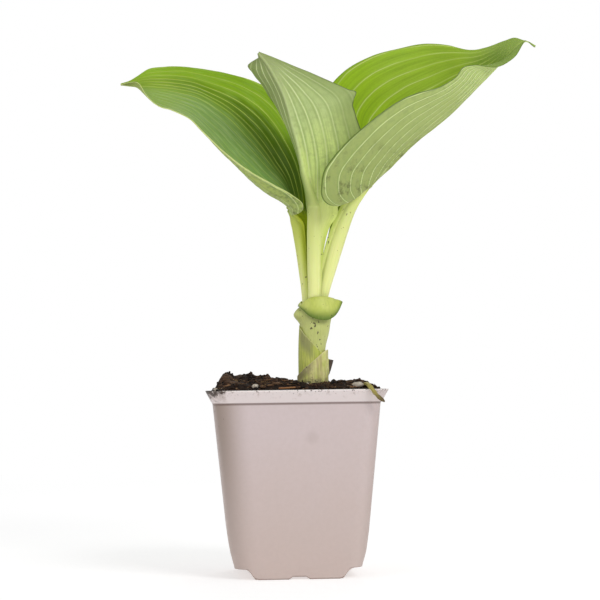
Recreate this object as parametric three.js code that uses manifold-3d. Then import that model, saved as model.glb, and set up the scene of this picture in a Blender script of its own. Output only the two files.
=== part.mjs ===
import * as THREE from "three";
import { mergeVertices } from "three/addons/utils/BufferGeometryUtils.js";
import Module from "manifold-3d";

const wasm = await Module();
wasm.setup();

// Pot: a tapered square nursery pot with a flared rim and a stepped base
const rimHalf = 45;
const potHeight = 93.4;
const rimCorner = 8.5;
const bodyCorner = 9;
const wall = 1;
const gap = 0.3;
const floorThick = 1.4;
const stripInner = 22;
const stripOuter = 25.3;
const stripLift = 5.2;
const grooveHalf = 5.2;
const grooveLift = 1.3;
const gatePadRadius = 4.4;
const slotHalf = 1.8;
const slotLength = 11;
const stripMiddle = 27.6;
const alongStrip = 14;
const alongGroove = 17;
const cornerSteps = 5;
const potOuter = [
  { z: 0, half: 31.3, corner: bodyCorner },
  { z: 5.2, half: 31.8, corner: bodyCorner },
  { z: 13, half: 33.8, corner: bodyCorner },
  { z: 22, half: 35.1, corner: bodyCorner },
  { z: 86.8, half: 41.4, corner: bodyCorner },
  { z: 87.1, half: 41.9, corner: bodyCorner },
  { z: 92.8, half: 44.9, corner: rimCorner },
  { z: 93.2, half: rimHalf, corner: rimCorner },
  { z: potHeight, half: 44.8, corner: rimCorner },
];
const potInner = [
  { z: floorThick, half: 30.5, corner: bodyCorner - wall },
  { z: 13, half: 32.8, corner: bodyCorner - wall },
  { z: 22, half: 34.1, corner: bodyCorner - wall },
  { z: 86.2, half: 40.35, corner: bodyCorner - wall },
  { z: 91.8, half: 43.4, corner: rimCorner - wall },
  { z: 96, half: 43.9, corner: rimCorner - wall },
];

// Soil: a lumpy mound that is highest left of the stem
const soilEdge = 92.5;
const soilRise = 3;
const soilHalf = 43.1;
const soilCorner = 7.2;
const soilMound = { x: -23, y: 4, high: 3.9, wide: 17, deep: 27 };
const soilLumps = [
  { x: -33.5, y: 6, high: 4.3, wide: 3.4 },
  { x: -24.5, y: -6, high: 2.8, wide: 3.1 },
  { x: -14.5, y: 8, high: 3.1, wide: 3.2 },
  { x: -4, y: 24, high: 2.4, wide: 4.4 },
  { x: -30, y: 28, high: 2, wide: 5 },
  { x: 2, y: -18, high: 1.4, wide: 4.5 },
  { x: 26, y: 14, high: 1.3, wide: 5 },
  { x: 33, y: -14, high: 1.1, wide: 4 },
  { x: 22, y: -30, high: 0.9, wide: 4 },
  { x: -10, y: -30, high: 0.9, wide: 4.5 },
];

// Stem: three papery sheaths round the leaf stalks, on a crown with fleshy roots
const stemX = 10;
const stemY = 1;
const crownTop = 97;
const sheathFoot = 91.2;
const crownProfile = [
  [0, 71], [3.4, 71.4], [6.2, 73.6], [8, 78], [8.3, 84], [7.6, 88.4], [5.55, 90.6], [5.55, crownTop],
];
const roots = [
  { turn: 10, length: 24, drop: 42, start: 76, thick: 1.5 },
  { turn: 55, length: 26, drop: 50, start: 74, thick: 1.3 },
  { turn: 100, length: 34, drop: 38, start: 78, thick: 1.5 },
  { turn: 148, length: 42, drop: 46, start: 75, thick: 1.4 },
  { turn: 192, length: 47, drop: 34, start: 79, thick: 1.5 },
  { turn: 238, length: 38, drop: 52, start: 74, thick: 1.3 },
  { turn: 280, length: 30, drop: 40, start: 77, thick: 1.5 },
  { turn: 325, length: 24, drop: 48, start: 75, thick: 1.4 },
];
const lowerSheath = { inner: 7.6, outer: 8, mid: 107, swing: 6.5, highAt: -10 };
const middleSheath = { inner: 6.9, outer: 7.3, mid: 119, swing: 7.5, highAt: 160 };
// A dry pleat stands out from the lower sheath's right side
const pleat = { turn: 358, spread: 9, out: 2.7, from: 100.5, tip: 108.3, end: 109 };
const collarSkin = 0.45;
// The collar's front folds down into a lip, with a point on the right. Each row: a turn in degrees counted
// from the right towards the back, then the low edge's distance out and height, then the crest's
const lipRows = [
  [-6, 13.9, 138.3, 9.6, 139.7], [6, 12.8, 138.2, 9.3, 139.7], [22, 10.8, 137.9, 9, 139.7],
  [45, 9.7, 138, 8.6, 139.6], [100, 9.3, 138.2, 8.4, 139.5], [150, 9.2, 137.8, 8.3, 139],
  [178, 8.9, 136.3, 8.1, 137.5], [200, 8.9, 136, 8.1, 137.2], [214, 9.1, 135, 8.2, 138.3],
  [228, 9.3, 133.8, 8.4, 139.2], [250, 9.6, 131.2, 8.7, 140.2], [270, 9.9, 129.8, 8.9, 140.5],
  [292, 10.3, 129.1, 9, 140.6], [315, 11.3, 129.5, 9.1, 140.5], [330, 12.5, 131.6, 9.3, 140.2],
  [342, 13.3, 134.7, 9.5, 140], [350, 13.7, 137.3, 9.6, 139.8], [354, 13.9, 138.3, 9.6, 139.7],
];
const lipThick = 1;
const leftBulge = { turn: 183, spread: 34, z: 132, tall: 2.8, out: 3.6 };
const rightBulge = { spread: 60, out: 2 };

// Leaves: each is one stalk running into one blade. Points are in millimetres from the pot's middle.
// axis: the middle of stalk and midrib, the blade beginning at point number junction.
// edge: a blade's margin, each row the share of the midrib it belongs to, then its place.
// turn: how far, in degrees, a half curves upwards from midrib to margin; late puts the curve near the margin.
const leafThick = 0.8;
const tipHalf = 0.6;
const stationCount = 43;
const stalkStations = 16;
const across = [0, 0.08, 0.15, 0.25, 0.38, 0.52, 0.66, 0.8, 0.91, 1];
const leftLeaf = {
  axis: [
    [8.2, 2.7, 97.3], [8.2, 2.7, 118], [8.4, 3, 139.6], [6.9, 3.4, 157], [4.8, 4, 172], [2, 5.5, 187],
    [-2, 9, 200.5], [-8, 12, 210.5], [-14.5, 15, 220.5], [-21.5, 17, 229.5], [-29.5, 19, 238],
    [-38.5, 20, 244.5], [-48, 21, 249.5], [-59.5, 21, 252], [-70, 20.5, 253], [-79, 20, 253.4],
    [-87.5, 19, 254.2],
  ],
  junction: 5,
  facing: [[1, -0.3, 0.2], [1, -0.5, 0.2], [0.8, -0.5, 0.5], [0.45, -0.6, 0.75], [0.1, -0.5, 0.85]],
  depth: [2.4, 2.6, 3.2, 3.2],
  girth: [2.7, 2.9, 3.6, 3.8],
  sides: {
    left: {
      stalk: [2.3, 2.4, 2.5, 2.8, 3, 3.2, 3.7, 4.8, 7],
      fold: [10, 20, 25, 35, 45],
      curl: [20, 25, 30, 45, 60],
      edge: [
        [0, -1, 1, 186.5], [0.02, 2, -5, 183.5], [0.045, 5, -11, 184], [0.08, 5.5, -15, 187],
        [0.13, 0, -18, 191.5], [0.2, -9, -21, 196.5], [0.3, -19, -22, 202], [0.4, -27.5, -21, 208],
        [0.5, -35, -18, 214.5], [0.6, -43, -13, 223.5], [0.7, -51.5, -7, 232.5], [0.8, -61, 0, 238],
        [0.87, -68.5, 6, 242], [0.92, -74.5, 12, 248.5], [0.95, -78.5, 16, 255], [0.975, -83, 18, 255.5],
        [1, -87.5, 19, 254.4],
      ],
      turn: [95, 102, 74, 52, 38, 35, 30],
      late: 2.2,
    },
    right: {
      stalk: [2.3, 2.4, 2.5, 2.8, 3.6, 4.6, 6, 8, 9.5],
      fold: [10, 25, 50, 60, 60],
      curl: [20, 25, 25, 25, 25],
      edge: [
        [0, 8.5, 10, 187], [0.05, 11.5, 14, 201], [0.12, 10, 20, 219], [0.2, 4, 26, 236],
        [0.3, -6, 32, 251], [0.4, -17.5, 36, 258.5], [0.5, -30, 38, 262.5], [0.6, -42.5, 39, 265],
        [0.7, -55, 38, 266.5], [0.8, -65.5, 35, 266], [0.88, -73.5, 30, 264], [0.94, -79, 25, 259.5],
        [0.97, -83, 22, 256.5], [1, -87.5, 19, 254.6],
      ],
      turn: [20, 25, 25, 20, 15],
      late: 1,
    },
  },
};
const centreLeaf = {
  axis: [
    [10, -1.9, 97.3], [10, -1.9, 118], [11.1, -2.2, 139.6], [11.2, -3, 157], [11.2, -3.8, 172],
    [11, -5.5, 187], [9, -8, 195.5], [6.5, -11, 203.5], [4.5, -14, 212], [2.5, -17, 219.5],
    [0, -20, 227.5], [-2, -23, 234.5], [-4.5, -26, 241.5], [-7.5, -28.5, 247.5], [-12, -31, 255],
    [-17, -32, 261.5],
  ],
  junction: 5,
  facing: [[0, 1, 0], [0.1, 1, 0], [0.3, 0.83, 0.3], [0.4, 0.83, 0.3], [0.3, 0.83, 0.4]],
  depth: [2.4, 2.6, 3.2, 2.6],
  girth: [2.6, 2.9, 3.5, 3.5],
  sides: {
    left: {
      stalk: [2, 2.1, 2.3, 2.8, 3.4, 4, 5, 8, 14],
      fold: [0, 0, 5, 8, 12],
      curl: [10, 10, 10, 10, 10],
      edge: [
        [0, 23, -4.5, 186.5], [0.08, 29, -5, 194], [0.16, 35.5, -6.5, 204.5], [0.24, 38, -10, 214.5],
        [0.32, 35.5, -12, 223.5], [0.42, 32, -14, 233.5], [0.5, 31, -16, 240], [0.53, 32.5, -17, 244],
        [0.56, 29, -18, 245], [0.65, 20, -20, 248.5], [0.75, 9.5, -23, 252.5], [0.85, -1.5, -26, 256.5],
        [0.93, -10, -29, 259.5], [1, -17, -32, 261.8],
      ],
      turn: [10, 15, 15, 10, 5],
      late: 1,
    },
    right: {
      stalk: [2, 2.1, 2.3, 2.8, 3.3, 3.5, 3.8, 4.3, 5],
      fold: [0, 0, 10, 20, 35],
      curl: [10, 10, 15, 15, 10],
      edge: [
        [0, 8.5, 1, 189], [0.1, 6.5, 2, 203.5], [0.2, 4.5, 1, 216.5], [0.3, 1, 0, 226.5],
        [0.4, -2.5, -3, 233], [0.5, -6.5, -7, 238], [0.6, -10.5, -11, 243], [0.7, -14, -15, 248.5],
        [0.8, -18, -20, 253], [0.87, -21.5, -24, 257], [0.92, -18.5, -27, 259], [0.96, -16.5, -29.5, 260],
        [1, -17, -32, 261.2],
      ],
      turn: [20, 25, 20, 15, 10],
      late: 1,
    },
  },
};
const rightLeaf = {
  axis: [
    [11.8, 2.7, 97.3], [11.8, 2.7, 118], [14.8, 2.7, 139.6], [19.4, 2.8, 156], [24.7, 2.6, 172],
    [29.6, 2.8, 184], [34.3, 3, 192], [40.2, 4, 199.7], [51.6, 9, 209.7], [60.7, 14, 218], [69, 19, 225],
    [78, 23, 231.8], [87.8, 27, 239.8], [96, 30, 247.7], [104, 32, 255.6], [112, 34, 263.5],
    [120.5, 35.5, 272], [129, 36, 279.5], [135.2, 36, 276.7],
  ],
  junction: 7,
  facing: [[-1, 0.1, 0.2], [-1, -0.1, 0.4], [-0.6, -0.45, 0.7], [-0.47, -0.48, 0.74], [-0.2, -0.6, 0.7]],
  depth: [2.6, 3, 3.4, 2.2],
  girth: [2.8, 3.3, 4.3, 3.6],
  sides: {
    left: {
      stalk: [2.3, 2.4, 2.6, 3.2, 4.2, 5, 6.4, 8, 9],
      fold: [10, 25, 45, 50, 55],
      curl: [20, 30, 30, 30, 30],
      edge: [
        [0, 39.5, 6, 199], [0.05, 33, 12, 210.5], [0.12, 26.5, 20, 230], [0.2, 22.5, 28, 248],
        [0.25, 25, 32, 256.5], [0.29, 31, 35.5, 263], [0.38, 47, 42, 272.8], [0.47, 62, 44, 277.2],
        [0.57, 76.5, 45, 279.9], [0.66, 89.5, 45, 279], [0.74, 101, 44, 276.2], [0.81, 110, 42, 277.2],
        [0.87, 119.5, 40, 280.5], [0.92, 125.5, 38, 281.6], [0.95, 129, 36, 279.8], [1, 135.2, 36, 276.9],
      ],
      turn: [20, 30, 30, 20, 10],
      late: 1,
    },
    right: {
      stalk: [2.3, 2.4, 2.6, 3.3, 5, 6.4, 6.9, 7, 8],
      fold: [10, 25, 45, 60, 62],
      curl: [20, 30, 30, 25, 20],
      edge: [
        [0, 27.5, -9.5, 189], [0.02, 25.5, -14, 187.3], [0.045, 22, -19, 186], [0.07, 19, -22.5, 185.8],
        [0.1, 15.5, -25.5, 187.3], [0.13, 13.5, -27, 190.5], [0.17, 13.5, -29, 196],
        [0.23, 15.3, -29, 203], [0.29, 20.5, -28, 210], [0.38, 33.5, -25, 223.5], [0.47, 49, -20, 236],
        [0.57, 63.5, -11, 244], [0.66, 79, 1, 250], [0.72, 87.5, 9, 256], [0.77, 92.5, 15, 262],
        [0.82, 101.5, 20, 264], [0.86, 111, 25, 264], [0.9, 119, 30, 267.5], [0.93, 124.5, 33, 272.5],
        [0.95, 128.5, 35.5, 279], [1, 135.2, 36, 276.6],
      ],
      turn: [30, 35, 38, 36, 20, 0],
      late: 1,
    },
  },
};

// Loose pieces on the soil; the dry stalk hangs over the rim
const chips = [
  { name: "bark_chip_1", x: -33.5, y: -4, size: [4.2, 3.2, 2], turn: 40, tilt: 28, lift: 0.8 },
  { name: "bark_chip_2", x: -25.5, y: 6, size: [4.4, 3.2, 1.8], turn: -35, tilt: 20, lift: 0.3 },
  { name: "bark_chip_3", x: -12, y: -6, size: [4.8, 3, 1.7], turn: 70, tilt: 20, lift: 0.6 },
  { name: "bark_chip_4", x: 31, y: 3, size: [4.2, 2.8, 1.5], turn: 10, tilt: -18, lift: 0.6 },
  { name: "bark_chip_5", x: -31, y: -27, size: [4.4, 3, 1.4], turn: 50, tilt: 16, lift: 0.5 },
  { name: "perlite_grain_1", x: -21, y: -37, size: [1.5, 1.3, 1.1], turn: 15, tilt: 5, lift: 0.5 },
  { name: "perlite_grain_2", x: -40, y: -36.5, size: [1.4, 1.2, 1.1], turn: 40, tilt: 5, lift: 0.5 },
  { name: "perlite_grain_3", x: 5, y: -33, size: [1.2, 1.1, 1], turn: 75, tilt: 5, lift: 0.4 },
  { name: "pebble", x: 30, y: -36, size: [2.4, 1.7, 1.3], turn: 0, tilt: 0, lift: 0.5 },
];
const straws = [
  { name: "straw", thick: 0.65, path: [[-9.5, -38.8, 94.3], [-4, -38.4, 94.5], [1.5, -37.8, 94.8]] },
  { name: "dry_stalk", thick: 1.05, path: [[32.5, -29, 95.3], [34.2, -37, 95.9], [34.6, -42.6, 95.4],
    [35.6, -46.5, 93.9], [38.4, -46.9, 90.2], [42, -46.9, 87.1]] },
];

const plastic = { color: 0xcdb9b4, roughness: 0.55 };
const earth = { color: 0x3a2a20, roughness: 0.95 };
const flesh = { color: 0xd9d2a8, roughness: 0.7 };
const sheathGreen = { color: 0xa9b75c, roughness: 0.6 };
const sheathBase = { color: 0x9a9a6a, roughness: 0.65 };
const leafGreen = { color: 0x7fae3c, roughness: 0.45 };
const bark = { color: 0x4a3524, roughness: 0.95 };
const white = { color: 0xd8d2c6, roughness: 0.9 };
const dry = { color: 0xb39a5a, roughness: 0.8 };

const rad = Math.PI / 180;
const clamp = (x, a, b) => Math.min(Math.max(x, a), b);
const bell = (x) => Math.exp(-x * x);

function smooth(a, b, x) {
  const t = clamp((x - a) / (b - a), 0, 1);
  return t * t * (3 - 2 * t);
}

// A smooth curve through evenly counted knots, t from 0 to 1
function knot(values, t) {
  const last = values.length - 1;
  const x = clamp(t, 0, 1) * last;
  const i = Math.min(Math.floor(x), last - 1);
  const f = x - i;
  const b = values[i];
  const c = values[i + 1];
  const a = i > 0 ? values[i - 1] : 2 * b - c;
  const d = i + 2 <= last ? values[i + 2] : 2 * c - b;
  const square = 2 * a - 5 * b + 4 * c - d;
  const cube = 3 * b - a - 3 * c + d;
  return 0.5 * (2 * b + (c - a) * f + square * f * f + cube * f * f * f);
}

function knotPoint(points, t) {
  const part = (k) => knot(points.map((p) => p[k]), t);
  return new THREE.Vector3(part(0), part(1), part(2));
}

// Values from rows of a rising key and its values: cubic steps, each row's slope weighed from its neighbours
function rowValues(rows, key) {
  const last = rows.length - 1;
  const x = clamp(key, rows[0][0], rows[last][0]);
  let i = 0;
  while (i < last - 1 && rows[i + 1][0] <= x) {
    i++;
  }
  const slope = (n, k) => {
    if (n === 0 || n === last) {
      const m = n === 0 ? 1 : last;
      return (rows[m][k] - rows[m - 1][k]) / (rows[m][0] - rows[m - 1][0]);
    }
    const back = rows[n][0] - rows[n - 1][0];
    const next = rows[n + 1][0] - rows[n][0];
    const sum = back * back * (rows[n + 1][k] - rows[n][k]) + next * next * (rows[n][k] - rows[n - 1][k]);
    return sum / (back * next * (back + next));
  };
  const wide = rows[i + 1][0] - rows[i][0];
  const f = (x - rows[i][0]) / wide;
  const near = 2 * f ** 3 - 3 * f ** 2 + 1;
  const leave = (f ** 3 - 2 * f ** 2 + f) * wide;
  const reach = (f ** 3 - f ** 2) * wide;
  const columns = rows[0].slice(1).map((_, k) => k + 1);
  return columns.map((k) => {
    return near * rows[i][k] + leave * slope(i, k) + (1 - near) * rows[i + 1][k] + reach * slope(i + 1, k);
  });
}

function rowPoint(rows, key) {
  return new THREE.Vector3(...rowValues(rows, key));
}

function signedVolume(points, faces) {
  let sum = 0;
  for (const [a, b, c] of faces) {
    sum += points[a].dot(new THREE.Vector3().crossVectors(points[b], points[c]));
  }
  return sum / 6;
}

function bodyFrom(points, faces) {
  const outward = signedVolume(points, faces) > 0;
  const vertProperties = new Float32Array(points.length * 3);
  points.forEach((p, i) => vertProperties.set([p.x, p.y, p.z], i * 3));
  const triVerts = new Uint32Array(faces.flatMap(([a, b, c]) => (outward ? [a, b, c] : [a, c, b])));
  return new wasm.Manifold(new wasm.Mesh({ numProp: 3, vertProperties, triVerts }));
}

function quad(faces, a, b, c, d) {
  faces.push([a, b, c], [a, c, d]);
}

// Sides between rings of equal count; "strip" closes an end flat across, "point" closes it to its middle
function closedBody(rings, startCap, endCap) {
  const n = rings[0].length;
  const points = rings.flat();
  const faces = [];
  for (let i = 0; i + 1 < rings.length; i++) {
    for (let j = 0; j < n; j++) {
      const k = (j + 1) % n;
      quad(faces, i * n + j, i * n + k, (i + 1) * n + k, (i + 1) * n + j);
    }
  }
  capEnd(points, faces, 0, n, startCap, true);
  capEnd(points, faces, (rings.length - 1) * n, n, endCap, false);
  return bodyFrom(points, faces);
}

function capEnd(points, faces, base, n, kind, flip) {
  const put = (a, b, c) => faces.push(flip ? [a, c, b] : [a, b, c]);
  if (kind === "strip") {
    for (let j = 0; j < n / 2 - 1; j++) {
      put(base + j, base + j + 1, base + n - 2 - j);
      put(base + j, base + n - 2 - j, base + n - 1 - j);
    }
    return;
  }
  const middle = new THREE.Vector3();
  for (let j = 0; j < n; j++) {
    middle.add(points[base + j]);
  }
  points.push(middle.divideScalar(n));
  for (let j = 0; j < n; j++) {
    put(base + j, base + ((j + 1) % n), points.length - 1);
  }
}

// A section carried right round, so that both ways close on themselves
function ringBody(sections) {
  const n = sections[0].length;
  const m = sections.length;
  const faces = [];
  for (let i = 0; i < m; i++) {
    const next = ((i + 1) % m) * n;
    for (let j = 0; j < n; j++) {
      const k = (j + 1) % n;
      quad(faces, i * n + j, i * n + k, next + k, next + j);
    }
  }
  return bodyFrom(sections.flat(), faces);
}

function bodyOf(source) {
  const geometry = source.clone();
  geometry.deleteAttribute("normal");
  geometry.deleteAttribute("uv");
  const merged = mergeVertices(geometry, 1e-4);
  const triVerts = new Uint32Array(merged.index.array);
  const vertProperties = new Float32Array(merged.attributes.position.array);
  return new wasm.Manifold(new wasm.Mesh({ numProp: 3, vertProperties, triVerts }));
}

function meshOf(body, name, look) {
  const made = body.getMesh();
  const geometry = new THREE.BufferGeometry();
  geometry.setAttribute("position", new THREE.BufferAttribute(new Float32Array(made.vertProperties), 3));
  geometry.setIndex(new THREE.BufferAttribute(new Uint32Array(made.triVerts), 1));
  geometry.computeVertexNormals();
  const mesh = new THREE.Mesh(geometry, new THREE.MeshStandardMaterial(look));
  mesh.name = name;
  return mesh;
}

function squareRing(half, corner, z) {
  const ring = [];
  for (let side = 0; side < 4; side++) {
    const cx = (side === 0 || side === 3 ? 1 : -1) * (half - corner);
    const cy = (side < 2 ? 1 : -1) * (half - corner);
    for (let k = 0; k <= cornerSteps; k++) {
      const a = (side + k / cornerSteps) * 90 * rad;
      ring.push(new THREE.Vector3(cx + corner * Math.cos(a), cy + corner * Math.sin(a), z));
    }
  }
  return ring;
}

function loft(profile, shrink, firstZ) {
  const rings = profile.map((p, i) => squareRing(p.half - shrink, p.corner - shrink, i === 0 ? firstZ : p.z));
  return closedBody(rings, "point", "point");
}

function block(x0, x1, y0, y1, z0, z1) {
  const geometry = new THREE.BoxGeometry(x1 - x0, y1 - y0, z1 - z0);
  geometry.translate((x0 + x1) / 2, (y0 + y1) / 2, (z0 + z1) / 2);
  return bodyOf(geometry);
}

// The relief under the pot: raised side strips with slanting edges and a shallow middle groove
function baseRelief(grow) {
  const far = 60;
  const inner = stripInner - grow;
  const outer = stripOuter - grow;
  const high = stripLift + grow;
  const foot = Math.max(grow, 0);
  const right = [
    [inner, -1], [inner, foot], [outer, high], [far, high], [far, -1],
  ];
  const shape = new THREE.Shape(right.map(([x, z]) => new THREE.Vector2(x, z)));
  const geometry = new THREE.ExtrudeGeometry(shape, { depth: 2 * far, bevelEnabled: false });
  geometry.rotateX(90 * rad);
  geometry.translate(0, far, 0);
  const strip = bodyOf(geometry);
  const grooveWide = grooveHalf + grow;
  const groove = block(-grooveWide, grooveWide, -far, far, -1, grooveLift + grow);
  return strip.add(strip.mirror([1, 0, 0])).add(groove);
}

function gatePad() {
  const geometry = new THREE.CylinderGeometry(gatePadRadius, gatePadRadius, 2.4, 32);
  geometry.rotateX(90 * rad);
  geometry.translate(0, 0, 1.2);
  return bodyOf(geometry);
}

function drainSlots() {
  const half = slotLength / 2;
  let slots = block(-slotHalf, slotHalf, alongGroove - half, alongGroove + half, -1, 4);
  slots = slots.add(slots.mirror([0, 1, 0]));
  const x0 = stripMiddle - slotHalf;
  const x1 = stripMiddle + slotHalf;
  let side = block(x0, x1, alongStrip - half, alongStrip + half, 3, 9);
  side = side.add(side.mirror([0, 1, 0]));
  return slots.add(side).add(side.mirror([1, 0, 0]));
}

function potBody() {
  const cavity = loft(potInner, 0, floorThick).subtract(baseRelief(floorThick));
  return loft(potOuter, 0, 0)
    .subtract(cavity)
    .subtract(baseRelief(0))
    .add(gatePad())
    .subtract(drainSlots());
}

function soilHeight(x, y, inside) {
  const m = soilMound;
  let high = soilRise + m.high * bell((x - m.x) / m.wide) * bell((y - m.y) / m.deep);
  for (const l of soilLumps) {
    high += l.high * bell((x - l.x) / l.wide) * bell((y - l.y) / l.wide);
  }
  return soilEdge + high * smooth(0, 0.22, inside);
}

function soilBlank() {
  const rings = potInner.slice(0, 4).map((p, i) => {
    return squareRing(p.half - gap, p.corner - gap, i === 0 ? floorThick + gap : p.z);
  });
  const ringCount = 10;
  for (let i = 0; i < ringCount; i++) {
    const inside = (i / ringCount) ** 0.9;
    const ring = squareRing(soilHalf, soilCorner, 0).map((p) => {
      const x = p.x * (1 - inside);
      const y = p.y * (1 - inside);
      return new THREE.Vector3(x, y, soilHeight(x, y, inside));
    });
    rings.push(ring);
  }
  return closedBody(rings, "point", "point");
}

function lathed(profile, grow) {
  const points = profile.map(([r, z], i) => new THREE.Vector2(r === 0 ? 0 : r + grow, i < 3 ? z - grow : z));
  points.push(new THREE.Vector2(0, points[points.length - 1].y));
  const geometry = new THREE.LatheGeometry(points, 28);
  geometry.rotateX(90 * rad);
  geometry.translate(stemX, stemY, 0);
  return bodyOf(geometry);
}

// A round cord of changing thickness along a path
function cord(path, thickAt, steps, sides, grow) {
  const rings = [];
  for (let i = 0; i <= steps; i++) {
    const t = i / steps;
    const here = knotPoint(path, t);
    const endShift = grow * (i === steps ? 1 : i === 0 ? -1 : 0);
    const before = knotPoint(path, Math.max(t - 0.01, 0));
    const ahead = knotPoint(path, Math.min(t + 0.01, 1)).sub(before).normalize();
    const sideways = new THREE.Vector3(0, 0, 1).cross(ahead);
    const x = sideways.lengthSq() > 0.01 ? sideways.normalize() : new THREE.Vector3(1, 0, 0);
    const y = new THREE.Vector3().crossVectors(ahead, x).normalize();
    const ring = [];
    for (let k = 0; k < sides; k++) {
      const a = (k / sides) * 2 * Math.PI;
      const r = thickAt(t) + grow;
      const spot = here.clone().addScaledVector(ahead, endShift);
      ring.push(spot.addScaledVector(x, r * Math.cos(a)).addScaledVector(y, r * Math.sin(a)));
    }
    rings.push(ring);
  }
  return closedBody(rings, "strip", "strip");
}

function rootPath(root) {
  const a = root.turn * rad;
  const at = (out, down, swing) => [
    stemX + out * Math.cos(a + swing), stemY + out * Math.sin(a + swing), root.start - down,
  ];
  return [at(3, 0, 0), at(10, 3, 0.06), at(root.length * 0.55, root.drop * 0.4, 0.22),
    at(root.length * 0.78, root.drop * 0.75, 0.1), at(root.length * 0.82, root.drop, 0.02)];
}

function crownBody(grow) {
  let body = lathed(crownProfile, grow);
  for (const root of roots) {
    body = body.add(cord(rootPath(root), (t) => root.thick * (1 - 0.55 * t), 6, 6, grow));
  }
  return body;
}

const stemCentre = (z) => stemX + 0.0021 * Math.max(0, z - 108) ** 2;

function pleatAt(turn, z) {
  const away = ((turn - pleat.turn + 540) % 360) - 180;
  const rise = clamp((z - pleat.from) / (pleat.tip - pleat.from), 0, 1) ** 1.3;
  const fall = 1 - clamp((z - pleat.tip) / (pleat.end - pleat.tip), 0, 1);
  return pleat.out * bell(away / pleat.spread) * rise * fall;
}

function sheathBody(sheath, pleated) {
  const sections = [];
  const turns = Array.from({ length: 36 }, (_, i) => i * 10);
  if (pleated) {
    turns.push(5, 353, 356, 358);
    turns.sort((a, b) => a - b);
  }
  const levels = pleated ? [0, 0.42, 0.55, 0.68, 0.77, 0.802, 0.9, 1] : [0, 0.35, 0.7, 0.88, 1];
  for (const turn of turns) {
    const top = sheath.mid + sheath.swing * Math.cos((turn - sheath.highAt) * rad);
    const point = (out, level) => {
      const z = sheathFoot + (top - sheathFoot) * level;
      return stemPoint(out + (pleated ? pleatAt(turn, z) : 0), turn, z);
    };
    const outside = levels.map((level) => point(sheath.outer, level));
    const inside = levels.map((level) => point(sheath.inner, level)).reverse();
    sections.push([...outside, ...inside]);
  }
  return ringBody(sections);
}

function stemPoint(out, turn, z) {
  const a = turn * rad;
  return new THREE.Vector3(stemCentre(z) + out * Math.cos(a), stemY + out * Math.sin(a), z);
}

// How wide the collar's sheath stands from the stem's middle at one turn and height
function collarWidth(turn, z) {
  const fromRight = Math.min(turn, 360 - turn);
  const leftHeight = bell((z - leftBulge.z) / leftBulge.tall);
  const rightHeight = smooth(112, 125, z) * (1 - smooth(132, 138, z));
  const left = leftBulge.out * bell((turn - leftBulge.turn) / leftBulge.spread) * leftHeight;
  const right = rightBulge.out * bell(fromRight / rightBulge.spread) * rightHeight;
  return 6.4 + 1.25 * smooth(123, 138, z) + left + right;
}

// The top sheath ends in a collar whose front is folded down: up the wall, out under the fold, round its
// edge, back over its convex face and down the inside
function collarBody() {
  const sections = [];
  const count = 56;
  const levels = [sheathFoot, 112, 122, 127, 131.5, 135];
  for (let i = 0; i < count; i++) {
    const turn = (i / count) * 360;
    const [lowOut, lowZ, topOut, topZ] = rowValues(lipRows, turn > 354 ? turn - 360 : turn);
    const long = Math.hypot(lowOut - topOut, lowZ - topZ);
    const ahead = [(lowOut - topOut) / long, (lowZ - topZ) / long];
    const thick = Math.min(lipThick, 0.3 * long);
    const at = (far, back) => {
      return [topOut + ahead[0] * far + ahead[1] * back, topZ + ahead[1] * far - ahead[0] * back];
    };
    const outer = levels.map((z) => [collarWidth(turn, z), z]);
    const inner = levels.map((z) => [collarWidth(turn, z) - collarSkin, z + (z > 134 ? 0.4 : 0)]).reverse();
    const fold = [
      [Math.min(8, topOut - 0.5), topZ - 1.7], at(0.2 * long, thick), at(0.6 * long, thick - 0.05 * long),
      at(0.95 * long, 0.9 * thick), at(long + 0.2 * thick, 0.45 * thick), at(long, 0),
      at(0.75 * long, -0.06 * long), at(0.4 * long, -0.07 * long), at(0.1 * long, -0.03 * long),
      [topOut - 0.6, topZ + 0.15], [7.6, topZ - 0.5],
    ];
    sections.push([...outer, ...fold, ...inner].map(([r, z]) => stemPoint(r, turn, z)));
  }
  return ringBody(sections);
}

// Points along the midrib by true length: s from -1 (foot) over 0 (blade begins) to 1 (tip)
function midribOf(leaf) {
  const count = 800;
  const points = [];
  const along = [0];
  for (let i = 0; i <= count; i++) {
    points.push(knotPoint(leaf.axis, i / count));
    if (i > 0) {
      along.push(along[i - 1] + points[i].distanceTo(points[i - 1]));
    }
  }
  const stalkLength = along[Math.round((leaf.junction / (leaf.axis.length - 1)) * count)];
  const total = along[count];
  const at = (length) => {
    const want = clamp(length, 0, total);
    let i = 1;
    while (i < count && along[i] < want) {
      i++;
    }
    const f = (want - along[i - 1]) / (along[i] - along[i - 1]);
    return points[i - 1].clone().lerp(points[i], f);
  };
  const lengthAt = (s) => (s < 0 ? stalkLength * (1 + s) : stalkLength + (total - stalkLength) * s);
  const place = (s) => at(lengthAt(s));
  const heading = (s) => {
    const length = clamp(lengthAt(s), 1, total - 1);
    return at(length + 1).sub(at(length - 1)).normalize();
  };
  return { place, heading };
}

// How far, outwards and upwards, each place across a stalk's half lies from its middle
function stalkHalf(side, stalkT) {
  const width = knot(side.stalk, stalkT);
  const fold = knot(side.fold, stalkT) * rad;
  const curl = knot(side.curl, stalkT) * rad;
  return across.map((x) => {
    const slope = fold + curl * x;
    return {
      outBy: (width * (Math.sin(slope) - Math.sin(fold))) / curl,
      upBy: (width * (Math.cos(fold) - Math.cos(slope))) / curl,
      width: width * x,
    };
  });
}

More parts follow.
